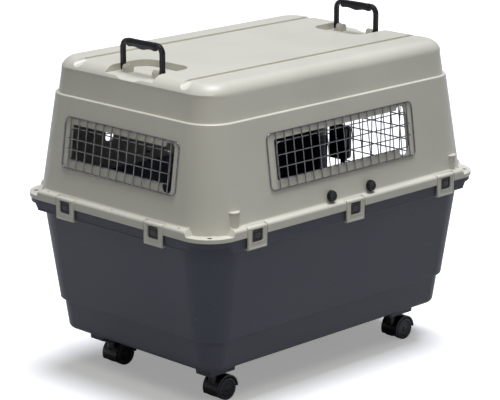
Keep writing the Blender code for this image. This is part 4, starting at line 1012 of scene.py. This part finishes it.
def pin_holes():
    """Cutters for the hinge pins and the lock bars, above and below the doorway."""
    _, low, _, high = DOORWAY
    for x, y, size in ((-DOOR_HALF, -DOOR_PLANE, DOOR_ROD), (LATCH_PLACE, LOCK_ROD_Y, LOCK_ROD)):
        for start, end in ((high - DOOR_GAP, high + LOCK_REACH), (low - LOCK_REACH, low + DOOR_GAP)):
            yield rod("pin_hole", size / 2 + PIN_PLAY, (x, y, start), (x, y, end))


def slide_box(side, middle, half, room, low, high):
    """A cutter at a rim latch, with room for its slide; low and high are (v, w)."""
    slide = -CLIP_SLOT if side == "rear" else CLIP_SLOT
    left = middle - half + min(slide, 0) - room
    right = middle + half + max(slide, 0) + room
    return box("slide", (left, *low), (right, *high), rim_matrix(side))


def clip_notches():
    """Cutters that let the latch clips into the shell's rim."""
    floor = PARTING + RIM_THICKNESS
    for side, _, u in LATCHES:
        for low, high in (
            ((floor, -CLIP_REACH - GAP), (RIM_TOP + OVERSHOOT, OVERSHOOT)),
            ((FLANGE_LOW - OVERSHOOT, -FLANGE_OUT), (RIM_TOP, OVERSHOOT)),
        ):
            yield slide_box(side, u, CLIP_WIDTH / 2, GAP, low, high)


def button_wells():
    """Cutters through the tub's flange, into which the latch buttons travel."""
    low = (BUTTON_TOP - BUTTON_HEIGHT - 2 * GAP, -FLANGE_OUT - FLANGE_THICKNESS - OVERSHOOT / 4)
    high = (BUTTON_TOP + OVERSHOOT / 4, OVERSHOOT)
    for side, _, u in LATCHES:
        yield slide_box(side, u, BUTTON_WIDTH / 2, 2 * GAP, low, high)


def window_cutters():
    """Cutters for the three windows: each opening ends in a taller slot."""
    for side, window in WINDOWS.items():
        left, right, slot = window["open_left"], window["open_right"], window["slot_width"]
        for start, end, low, high, corner, steps in (
            (left, right - slot / 2, window["open_low"], window["open_high"], WINDOW_CORNER, 6),
            (right - slot, right, window["slot_low"], window["slot_high"], SLOT_CORNER, 12),
        ):
            outline = rounded_outline(start, low * SLOPE, end, high * SLOPE, corner, steps)
            yield prism("window", outline, -OVERSHOOT, OVERSHOOT, "z", wall_matrix(side))


def pocket_shape(side, extra=0.0):
    """The handle pocket in one end of the roof, open towards that end."""
    steps = 8 if extra else 18
    floor = ROOF_TOP - POCKET_DEPTH - extra
    half = POCKET_HALF_WIDTH + extra
    radius = POCKET_CORNER + extra
    back = HANDLE_PLACE - POCKET_REACH - extra
    far = RIM_LENGTH / 2
    outline = arc(half - radius, back + radius, radius, 0, -90, steps)
    outline += arc(-half + radius, back + radius, radius, -90, -180, steps)
    outline += [(-half, far), (half, far)]
    pocket = prism("pocket", [(u, side * v) for u, v in outline], floor, ROOF_TOP + OVERSHOOT)
    return join(pocket, scoop_shape(side, floor, extra))


def scoop_shape(side, floor, extra):
    """The hollow that runs from under a handle down to the edge of the roof."""
    wide = SCOOP_HALF_WIDTH + extra
    flat = SCOOP_HALF_WIDTH * SCOOP_FLAT_SHARE + extra
    top = POCKET_DEPTH / 2
    shares = [(i / 12, (1 + math.cos(math.pi * i / 12)) / 2) for i in range(13)]
    start = HANDLE_PLACE + BOSS_RADIUS
    rings = []
    for reach in (start, RIM_LENGTH / 2):
        depth = (reach - start) * SCOOP_SLOPE - 0.001
        right = [(flat + (wide - flat) * across, -depth * share) for across, share in shares]
        points = right + [(wide, top), (-wide, top)] + [(-u, w) for u, w in reversed(right)]
        rings.append([(u, side * reach, floor + w) for u, w in points])
    return lofted("scoop", rings)


def channel_shapes(side, extra=0.0):
    """The flat-bottomed groove along one side of the roof, and the flares at its two ends."""
    middle = side * CHANNEL_PLACE
    half = CHANNEL_RADIUS + extra
    floor = ROOF_TOP - CHANNEL_DEPTH - extra
    top = ROOF_TOP + 2 * CHANNEL_RADIUS
    outline = rounded_outline(middle - half, floor, middle + half, top, CHANNEL_ROUND + extra, 8)
    yield prism("channel", outline, -RIM_LENGTH / 2, RIM_LENGTH / 2, "y")
    facets = 16 if extra else 40
    angles = [2 * math.pi * (i + 0.5) / facets for i in range(facets)]
    centre_z = ROOF_TOP + CHANNEL_RADIUS - CHANNEL_DEPTH
    for way in (-1, 1):
        rings = []
        for share in (0.0, 1.0):
            radius = CHANNEL_RADIUS + (MOUTH_RADIUS - CHANNEL_RADIUS) * share + extra
            x = side * (CHANNEL_PLACE + MOUTH_SHIFT * share)
            y = way * (RIM_LENGTH / 2 - MOUTH_LENGTH * (1 - share * MOUTH_SHARE))
            rings.append([(x + radius * math.cos(a), y, centre_z + radius * math.sin(a)) for a in angles])
        yield lofted("mouth", rings)


def handle_bosses():
    """The four lugs that carry the handles' pivot pins."""
    foot = ROOF_TOP - POCKET_DEPTH - WALL / 2
    outer = HANDLE_HALF - HANDLE_BAR - PIVOT_PLAY
    for side_x, side_y in CORNERS:
        y = side_y * HANDLE_PLACE
        outline = arc(y, PIVOT_Z, BOSS_RADIUS, 0, 180, 20)
        outline += [(y - BOSS_RADIUS, foot), (y + BOSS_RADIUS, foot)]
        yield prism("boss", outline, side_x * outer, side_x * (outer - BOSS_WIDTH), "x")


def boss_bores():
    """Cutters for the blind bores that take a handle's pivot pins."""
    for side_y, way in CORNERS:
        y = side_y * HANDLE_PLACE
        start = (way * (HANDLE_HALF - HANDLE_BAR / 2), y, PIVOT_Z)
        yield rod("bore", PIVOT_PIN / 2 + PIVOT_PLAY, start, (way * (PIN_TIP - PIVOT_PLAY), y, PIVOT_Z))


def strap_hooks():
    """Half-round posts against the long walls, with a lip on top."""
    wall_x = RIM_WIDTH / 2 - WALL_SET_IN - SHELL_DRAFT * (HOOK_TOP - PARTING)
    lip = HOOK_TOP - HOOK_LIP
    foot = PARTING + WALL
    neck = HOOK_RADIUS * HOOK_NECK_SHARE
    profile = [
        (0, foot), (neck, foot), (neck, lip - HOOK_LIP / 2), (HOOK_RADIUS, lip),
        (HOOK_RADIUS, HOOK_TOP - HOOK_LIP / 3), (HOOK_RADIUS * 0.9, HOOK_TOP), (0, HOOK_TOP),
    ]
    for x, y in CORNERS:
        place = Matrix.Translation((x * (wall_x - HOOK_SINK), y * HOOK_PLACE, 0))
        yield turned("hook", profile, 36, place)


def knob_holes():
    for side, _, u in KNOBS:
        profile = bar_profile(KNOB_STUD / 2 + GAP, -OVERSHOOT, OVERSHOOT)
        yield turned("knob_hole", profile, 20, knob_matrix(side, u))


def build_shell():
    """The upper shell, with its rim, windows, roof channels and handle pockets."""
    rim_low = PARTING - RIM_SKIRT
    start = 0.0005
    rings = [rim_section(rim_low)]
    for degrees in range(0, 91, 15):
        angle = math.radians(degrees)
        height = PARTING + start + (RIM_CROWN - start) * math.sin(angle)
        rings.append(rim_section(height, RIM_ROUND * (1 - math.cos(angle))))
    rings.append(rim_section(RIM_TOP + 0.0006, WALL_SET_IN - 0.0065))
    for rise, inset in ((0.0018, -0.0032), (0.0040, -0.0010), (0.0080, 0.0), (0.0200, WALL / 2)):
        rings.append(shell_section(RIM_TOP + rise, inset))
    rim = cut(lofted("rim", rings), *ledge_blocks(LEDGE_TOP, 0.0))
    shell = lofted("upper_shell_finished", [shell_section(LEDGE_TOP - FLANGE_THICKNESS)] + roof_rings())
    join(shell, rim, door_bay(0.0, PARTING, ROOF_TOP), *strap_hooks())

    low = rim_low - OVERSHOOT
    under = lofted("under", [rim_section(low, RIM_THICKNESS), rim_section(PARTING, RIM_THICKNESS)])
    cut(under, *ledge_blocks(LEDGE_TOP - FLANGE_THICKNESS, RIM_THICKNESS))
    inside = lofted("inside", [shell_section(low, WALL)] + roof_rings(WALL))
    bay = cut(door_bay(WALL, low, ROOF_TOP), door_jamb())
    cut(inside, door_jamb())
    for side in (-1, 1):
        cut(inside, *channel_shapes(side, WALL), pocket_shape(side, WALL))
    join(inside, bay)
    cut(shell, under, inside, bay_trim(), doorway_cutter())
    for side in (-1, 1):
        cut(shell, *channel_shapes(side), pocket_shape(side))
    join(shell, *handle_bosses())
    return cut(
        shell, *boss_bores(), *window_cutters(), *clip_notches(), *knob_holes(), *rim_holes(), *pin_holes()
    )


def caster_pads():
    """Two-tier pads under the floor of the tub, one over each caster."""
    for sign_x, sign_y in CORNERS:
        y = sign_y * CASTER_Y
        for length, width, shift, bottom, top in PAD_TIERS:
            x = sign_x * (CASTER_X + shift)
            rings = []
            for height, grow in ((bottom, 0.0), (top, PAD_GROWTH)):
                half_x = width / 2 + grow
                half_y = length / 2 + grow
                outline = rounded_outline(x - half_x, y - half_y, x + half_x, y + half_y, PAD_CORNER, 6)
                rings.append([(u, v, height) for u, v in outline])
            yield lofted("pad", rings)


def stem_bores():
    for x, y in CORNERS:
        place = Vector((x * CASTER_X, y * CASTER_Y, PAD_BOTTOM - OVERSHOOT))
        reach = Vector((0, 0, OVERSHOOT + STEM_PEG_REACH + STEM_PEG_ROOM))
        yield rod("bore", STEM_PEG / 2 + GAP, place, place + reach)


def build_tub():
    """The lower tub, with its flange, door sill and caster pads."""
    tub = lofted("lower_tub_finished", tub_rings() + [tub_section(FLANGE_TOP)])
    lip = FLANGE_LOW + LIP_HEIGHT
    proud = FLANGE_OUT + LIP_DEPTH
    levels = ((FLANGE_LOW, FLANGE_OUT), (lip, FLANGE_OUT), (lip + LIP_DEPTH / 2, proud), (FLANGE_TOP, proud))
    flange = lofted("flange", [rim_section(*level) for level in levels])
    ledge = LEDGE_TOP - FLANGE_THICKNESS - GAP
    rise = CORNER_SKIRT_RISE
    shift = RIM_CORNER - LEDGE_REACH
    cut(flange, *ledge_blocks(ledge, FLANGE_OUT))
    cut(flange, *corner_blocks([(FLANGE_LOW - OVERSHOOT, -rise - shift), (FLANGE_LOW + rise, rise - shift)]))
    inner = FLANGE_OUT + FLANGE_THICKNESS
    levels = (FLANGE_LOW - OVERSHOOT, FLANGE_TOP - FLANGE_THICKNESS)
    hollow = lofted("hollow", [rim_section(height, inner) for height in levels])
    cut(flange, cut(hollow, *ledge_blocks(ledge - FLANGE_THICKNESS, inner)))
    cut(tub, *ledge_blocks(ledge, FLANGE_OUT))
    join(tub, flange, door_bay(0.0, 0.0, FLANGE_TOP), *caster_pads())

    high = PARTING + OVERSHOOT
    inside = cut(lofted("inside", tub_rings(WALL) + [tub_section(high, WALL)]), door_jamb())
    join(inside, cut(door_bay(WALL, 0.0, high), door_jamb()))
    cut(tub, inside, bay_trim(), doorway_cutter())
    return cut(tub, *button_wells(), *stem_bores(), *rim_holes(), *pin_holes())


# Casters

TYRE_PROFILE = [
    (0, 0.015), (AXLE_HOLE, 0.015), (AXLE_HOLE, 0), (0.0280, 0), (0.0293, 0.0006), (0.0299, 0.0018),
    (0.0300, 0.0040), (0.0300, 0.0160), (0.0298, 0.0173), (0.0291, 0.0184), (0.0280, 0.0190),
    (0.0222, 0.0186), (0.0216, 0.0182), (0.0213, 0.0174), (0.0211, 0.0164), (0, 0.0160),
]
CAP_PROFILE = [
    (0, 0.0158), (0.0203, 0.0162), (0.0205, 0.0170), (0.0202, 0.0175), (0.0194, 0.0177), (0.0170, 0.0174),
    (0.0120, 0.0169), (0.0080, 0.0168), (0.0068, 0.0169), (0.0062, 0.0174), (0.0052, 0.0177), (0, 0.0178),
]
QUARTER_TURN = Matrix.Rotation(math.radians(90), 4, "Y")


def build_hood():
    """The hood and centre web of a caster about its swivel axis."""
    half = WEB / 2 + WHEEL_PLAY + WHEEL_WIDTH
    outline = arc(-TRAIL, WHEEL_RADIUS, HOOD_OUTER, -25, 178, 56)
    outline += arc(-TRAIL, WHEEL_RADIUS, 0.009, 198, 305, 8)
    hood = prism("hood", outline, -half, half, "x")
    boss = [(0, 0.045), (HOOD_BOSS, 0.045), (HOOD_BOSS, HOOD_TOP - 0.0012)]
    boss += [(0.0108, HOOD_TOP), (0, HOOD_TOP)]
    join(hood, turned("boss", boss, 40))
    place = Matrix.Translation((0, -TRAIL, WHEEL_RADIUS)) @ QUARTER_TURN
    for low, high in ((-half - 0.01, -WEB / 2), (WEB / 2, half + 0.01)):
        cut(hood, lofted("space", turned_bar(HOOD_INNER, low, high, 72, place)))
    cut(hood, lofted("axle_hole", turned_bar(AXLE_HOLE, -half, half, 24, place)))
    cut(hood, turned("pin_hole", bar_profile(SWIVEL_HOLE, 0.0445, 0.09), 24))
    return round_edges(hood, 0.0009, 3)


def build_casters():
    tyre = turned("tyre", TYRE_PROFILE, 72, angle=40)
    cap = turned("cap", CAP_PROFILE, 72, angle=40)
    hood = build_hood()
    for name, (x, y) in CASTERS.items():
        stand_in(f"caster_hood_{name}", hood, Matrix.Translation((x, y, 0)), "black")
        for side, sign in (("left", -1), ("right", 1)):
            node = f"caster_wheel_{name}_{side}"
            seat = Matrix.Translation((x + sign * (WEB / 2 + WHEEL_PLAY), y - TRAIL, WHEEL_RADIUS))
            matrix = seat @ Matrix.Rotation(math.radians(90 * sign), 4, "Y")
            stand_in(node, tyre, matrix, "wheel", "_tyre")
            dress(placed_copy(node + "_cap", cap, matrix), BODY_OF[node], "black")
    remove(tyre, cap, hood)


def remove(*patterns):
    for pattern in patterns:
        bpy.data.objects.remove(pattern)


# Handles

def bar_section(half, corner, groove, depth):
    """A square bar with rounded corners and a groove in its two broad faces."""
    edge = groove + 0.0004
    far = half - corner
    points = arc(far, far, corner, 0, 90, 4)
    points += [(edge, half), (groove, half - depth), (-groove, half - depth), (-edge, half)]
    points += arc(-far, far, corner, 90, 180, 4) + arc(-far, -far, corner, 180, 270, 4)
    points += [(-edge, -half), (-groove, depth - half), (groove, depth - half), (edge, -half)]
    return points + arc(far, -far, corner, 270, 360, 4)


def handle_path():
    """Centres, outward directions and widths along the arch, from foot to foot."""
    bar = HANDLE_BAR / 2
    x = HANDLE_HALF - bar
    stops = []
    for turn in (82, 60, 38, 16):
        angle = math.radians(turn)
        stops.append((-x, PIVOT_Z - bar * math.sin(angle), 180, math.cos(angle)))
    stops += [(-x, PIVOT_Z, 180, 1.0), (-x, PIVOT_Z + 0.012, 180, 1.0)]
    centre = HANDLE_HALF - HANDLE_CORNER
    reach = HANDLE_CORNER - bar
    height = BAR_TOP - HANDLE_CORNER
    for i in range(13):
        angle = 180 - 7.5 * i
        turn = math.radians(angle)
        stops.append((-centre + reach * math.cos(turn), height + reach * math.sin(turn), angle, 1.0))
    return stops + [(-u, v, 180 - angle, width) for u, v, angle, width in reversed(stops)]


def grip_rings(centre_y):
    """The grip's rings: an oval with finger hollows below, and a collar near each end."""
    rings = []
    steps = 104
    for i in range(steps + 1):
        along = i / steps
        x = (along - 0.5) * GRIP_LENGTH
        hollow = 0.003 * (1 - math.cos(4 * math.pi * along)) / 2
        rise = hollow + 0.003 * (1 - math.sin(math.pi * along))
        end = min(along, 1 - along) * GRIP_LENGTH
        close = math.sqrt(max(0.0, 1 - (1 - min(end / 0.0035, 1.0)) ** 2)) * 0.22 + 0.78
        near = abs(abs(x) - COLLAR_PLACE)
        swell = 0.0005 if near < 0.0012 else (-0.0006 if near < 0.0022 else 0.0)
        ring = []
        for k in range(36):
            angle = math.radians(10 * k)
            side, up = math.cos(angle), math.sin(angle)
            side = math.copysign(abs(side) ** 0.8, side)
            up = math.copysign(abs(up) ** 0.8, up)
            z = up * ((0.0115 if up > 0 else 0.0125) + swell) * close
            z = z + rise * close * min(1.0, -2 * up) if up < 0 else z
            ring.append((x, centre_y + side * (0.0090 + swell) * close, GRIP_MIDDLE + z))
        rings.append(ring)
    return rings


def build_handle(name, side):
    """A carrying handle: an arch of grooved bar, its grip and its two pivot pins."""
    centre_y = side * HANDLE_PLACE
    section = bar_section(HANDLE_BAR / 2, 0.0024, 0.0022, 0.0009)
    rings = []
    for x, z, angle, width in handle_path():
        out = Vector((math.cos(math.radians(angle)), 0, math.sin(math.radians(angle))))
        rings.append([Vector((x, centre_y + b, z)) + out * (a * width) for a, b in section])
    bm = bmesh.new()
    add_loft(bm, rings)
    add_loft(bm, grip_rings(centre_y))
    place = Matrix.Translation((0, centre_y, PIVOT_Z)) @ QUARTER_TURN
    for way in (-1, 1):
        ends = sorted((way * (HANDLE_HALF - HANDLE_BAR / 2), way * PIN_TIP))
        add_loft(bm, turned_bar(PIVOT_PIN / 2, *ends, 24, place))
    return dress(solid(name + "_finished", bm, 38), BODY_OF[name], "black", name)


# Latches

def button_outline(inset, corner=0.003):
    half = BUTTON_WIDTH / 2 - inset
    low = BUTTON_TOP - BUTTON_HEIGHT + inset
    return rounded_outline(-half, low, half, BUTTON_TOP - inset, max(corner - inset / 2, 0.0008), 6)


def build_clip():
    """A latch clip at the middle of a rim side: a hooked plate with a raised border and a window."""
    half = CLIP_WIDTH / 2
    flange = FLANGE_LOW - GAP
    floor = PARTING + RIM_THICKNESS + GAP
    profile = [(CLIP_INNER, flange), (-CLIP_BACK, flange), (-CLIP_BACK, CLIP_LOW + 0.0015)]
    profile += [(-0.011, CLIP_LOW)] + arc(CLIP_FACE - 0.003, CLIP_LOW + 0.003, 0.003, 270, 360, 6)
    profile += arc(CLIP_FACE - 0.006, CLIP_CROWN - 0.006, 0.006, 0, 90, 8)
    profile += [(-CLIP_REACH, CLIP_CROWN), (-CLIP_REACH, floor), (CLIP_INNER, floor)]
    clip = lofted("clip", [[(x, v, w) for w, v in profile] for x in (-half, half)])
    cut(clip, prism("window", button_outline(-0.0016), -0.005, 0.02))
    side = half - CLIP_BORDER
    field = rounded_outline(-side, CLIP_LOW + 0.0050, side, CLIP_CROWN - 0.0062, 0.0025, 6)
    recess = prism("field", field, CLIP_FACE - 0.0009, CLIP_FACE + 0.01)
    cut(recess, prism("border", button_outline(-0.0042, 0.004), CLIP_FACE - 0.002, CLIP_FACE + 0.02))
    return round_edges(cut(clip, recess), 0.0005)


def build_button():
    """The push button in a clip's window: a sunk panel with a raised square."""
    steps = (
        (0.0006, 0.0038), (0.0006, 0.0008), (0.0009, 0.0003), (0.0014, 0), (0.0036, 0), (0.0042, 0.0004),
        (0.0045, 0.0016), (0.0064, 0.0016), (0.0067, 0.0008), (0.0072, 0.0003), (0.0078, 0.0002),
    )
    face = CLIP_FACE - 0.0012
    rings = [[(x, v, face - sunk) for x, v in button_outline(inset)] for inset, sunk in steps]
    return lofted("button", rings, angle=40)


def build_latches():
    clip, button = build_clip(), build_button()
    for side, mark, u in LATCHES:
        place = rim_matrix(side) @ Matrix.Translation((u, 0, 0))
        for pattern, kind, finish in ((clip, "clip", "cream"), (button, "button", "black")):
            stand_in(f"latch_{kind}_{side}_{mark}", pattern, place, finish)
    remove(clip, button)


# Knobs

KNOB_LEVELS = (
    (0.0035, 0.80, 0.0), (0.0036, 0.95, 0.0), (0.0040, 0.99, 0.0), (0.0046, 1.0, 0.0), (0.0056, 0.99, 0.0),
    (0.0060, 0.93, 0.0), (0.0062, 0.86, 0.4), (0.0070, 0.86, 0.7), (0.0073, 0.92, 1.0), (0.0078, 0.97, 1.0),
    (0.0120, 0.96, 1.0), (0.0134, 0.94, 0.9), (0.0142, 0.90, 0.6), (0.0145, 0.84, 0.2), (0.0144, 0.66, 0.0),
    (0.0132, 0.58, 0.0), (0.0130, 0.50, 0.0), (0.0130, 0.26, 0.0), (0.0138, 0.22, 0.0), (0.0139, 0.12, 0.0),
)


def build_knobs():
    """Fluted knobs with a sunk face, a neck and a stud, on the long walls."""
    count = KNOB_FLUTES * 12
    rings = []
    for w, share, flute in KNOB_LEVELS:
        ring = []
        for i in range(count):
            angle = 2 * math.pi * i / count
            groove = (0.5 - 0.5 * math.cos(KNOB_FLUTES * angle)) ** 2.2
            radius = (KNOB_RADIUS - 0.0026 * groove * flute) * share
            ring.append((radius * math.cos(angle), radius * math.sin(angle), w))
        rings.append(ring)
    bm = bmesh.new()
    add_loft(bm, rings)
    stud = KNOB_STUD / 2
    profile = [(0, -0.012), (stud, -0.012), (stud, GAP), (KNOB_BASE, GAP), (KNOB_BASE, 0.005), (0, 0.005)]
    add_loft(bm, turned_rings(profile, 24))
    pattern = solid("knob", bm, 40)
    for side, mark, u in KNOBS:
        stand_in(f"knob_{side}_{mark}", pattern, knob_matrix(side, u), "black")
    remove(pattern)


# Studio

FLOOR_REACH = 12.0
FLOOR_DROP = 0.0005
FLOOR_BOUNCE = 0.22
FLOOR_SHOWN = 0.93
FLOOR_GLOW = 0.30
WORLD_LIGHT = 0.09
GLOSSY_SHARE = 0.22
TOP_LAMP_SOURCE = Vector((-0.05, -0.08, 1.0))
FRONT_LAMP_PLACE = Vector((-1.75, 1.65, 2.45))
FRONT_LAMP_TARGET = Vector((-0.35, 0.5, 0.5))
CAMERA_PLACE = (-4.0164, 4.058, 1.9578)
CAMERA_AZIMUTH = math.radians(224.8185)
CAMERA_HEIGHT = math.radians(15.0049)
FOCAL_PIXELS = 2209.32
SENSOR = 36.0


def light_path(tree, glossy_share=1.0):
    """What the camera sees, and what it sees together with glass and a share of the gloss."""
    seen = tree.nodes.new("ShaderNodeLightPath").outputs
    shown = maths(tree, "MAXIMUM", seen["Is Camera Ray"], seen["Is Transmission Ray"])
    gloss = seen["Is Glossy Ray"]
    if glossy_share < 1:
        gloss = maths(tree, "MULTIPLY", gloss, glossy_share)
    return seen["Is Camera Ray"], maths(tree, "MAXIMUM", shown, gloss)


def build_floor():
    """A pale floor that looks white and keeps the crate's shadow."""
    bm = bmesh.new()
    corners = [(-1, -1), (1, -1), (1, 1), (-1, 1)]
    bm.faces.new([bm.verts.new((x * FLOOR_REACH, y * FLOOR_REACH, -FLOOR_DROP)) for x, y in corners])
    mesh = bpy.data.meshes.new("floor")
    bm.to_mesh(mesh)
    bm.free()
    made = bpy.data.materials.new("floor_paper")
    made.use_nodes = True
    tree = made.node_tree
    tree.nodes.clear()
    end = tree.nodes.new("ShaderNodeOutputMaterial")
    camera, shown = light_path(tree)
    tone = mix_colours(tree, shown, (*[FLOOR_BOUNCE] * 3, 1), (*[FLOOR_SHOWN] * 3, 1))
    paper = add_node(tree, "ShaderNodeBsdfDiffuse", {"Color": tone})
    strength = maths(tree, "MULTIPLY", camera, FLOOR_GLOW)
    glow = add_node(tree, "ShaderNodeEmission", {"Color": (1, 1, 1, 1), "Strength": strength})
    both = add_node(tree, "ShaderNodeAddShader", {0: paper.outputs[0], 1: glow.outputs[0]})
    tree.links.new(both.outputs[0], end.inputs["Surface"])
    mesh.materials.append(made)
    new_object("floor", mesh)


def build_world():
    """A white backdrop that gives only a little light."""
    world = bpy.data.worlds.new("studio")
    bpy.context.scene.world = world
    world.use_nodes = True
    tree = world.node_tree
    tree.nodes.clear()
    end = tree.nodes.new("ShaderNodeOutputWorld")
    _, shown = light_path(tree, GLOSSY_SHARE)
    strength = add_node(tree, "ShaderNodeMapRange", {"Value": shown, "To Min": WORLD_LIGHT, "To Max": 1.0})
    sky = add_node(
        tree, "ShaderNodeBackground", {"Color": (1, 1, 1, 1), "Strength": strength.outputs[0]}
    )
    tree.links.new(sky.outputs[0], end.inputs["Surface"])


def add_lamp(name, kind, towards, **settings):
    """A lamp that shines from the direction it is given."""
    light = bpy.data.lights.new(name, kind)
    for key, value in settings.items():
        setattr(light, key, value)
    lamp = new_object(name, light)
    lamp.rotation_euler = towards.to_track_quat("Z", "Y").to_euler()
    return lamp


def build_lamps():
    add_lamp(
        "top_lamp", "SUN", TOP_LAMP_SOURCE,
        energy=3.72, angle=math.radians(30.0), color=(0.895, 0.925, 1.0),
    )
    lamp = add_lamp(
        "front_lamp", "AREA", FRONT_LAMP_PLACE - FRONT_LAMP_TARGET,
        shape="DISK", size=1.2, energy=17.0, color=(1.0, 0.985, 0.91),
    )
    lamp.location = FRONT_LAMP_PLACE
    lamp.visible_camera = False


def build_camera():
    """The photograph's viewpoint, with its long lens."""
    turn, flat = CAMERA_AZIMUTH, math.cos(CAMERA_HEIGHT)
    back = Vector((math.sin(turn) * flat, -math.cos(turn) * flat, math.sin(CAMERA_HEIGHT)))
    data = bpy.data.cameras.new("photo_camera")
    data.sensor_fit = "HORIZONTAL"
    data.sensor_width = SENSOR
    data.lens = SENSOR * FOCAL_PIXELS / 500
    data.clip_end = 60.0
    camera = new_object("photo_camera", data)
    camera.location = CAMERA_PLACE
    camera.rotation_euler = back.to_track_quat("Z", "Y").to_euler()
    bpy.context.scene.camera = camera


for name, node in frame["nodes"].items():
    node.data.materials.clear()
    node.data.materials.append(MATERIALS[finish_of(name)])
build_floor()
build_world()
build_lamps()
build_camera()
bpy.context.scene.view_settings.view_transform = "Standard"
for wall in WINDOWS:
    build_grille(wall)
build_door()
build_casters()
build_handle("handle_rear", 1)
build_handle("handle_front", -1)
build_latches()
build_knobs()
dress_moulding(build_shell(), "upper_shell")
dress_moulding(build_tub(), "lower_tub")
MADE = (
    "upper_shell", "lower_tub", "grille", "door_panel", "caster_hood", "caster_wheel",
    "handle", "latch_clip", "latch_button", "knob",
)
for part in sorted(frame["nodes"]):
    if not part.startswith(MADE):
        refine(part)
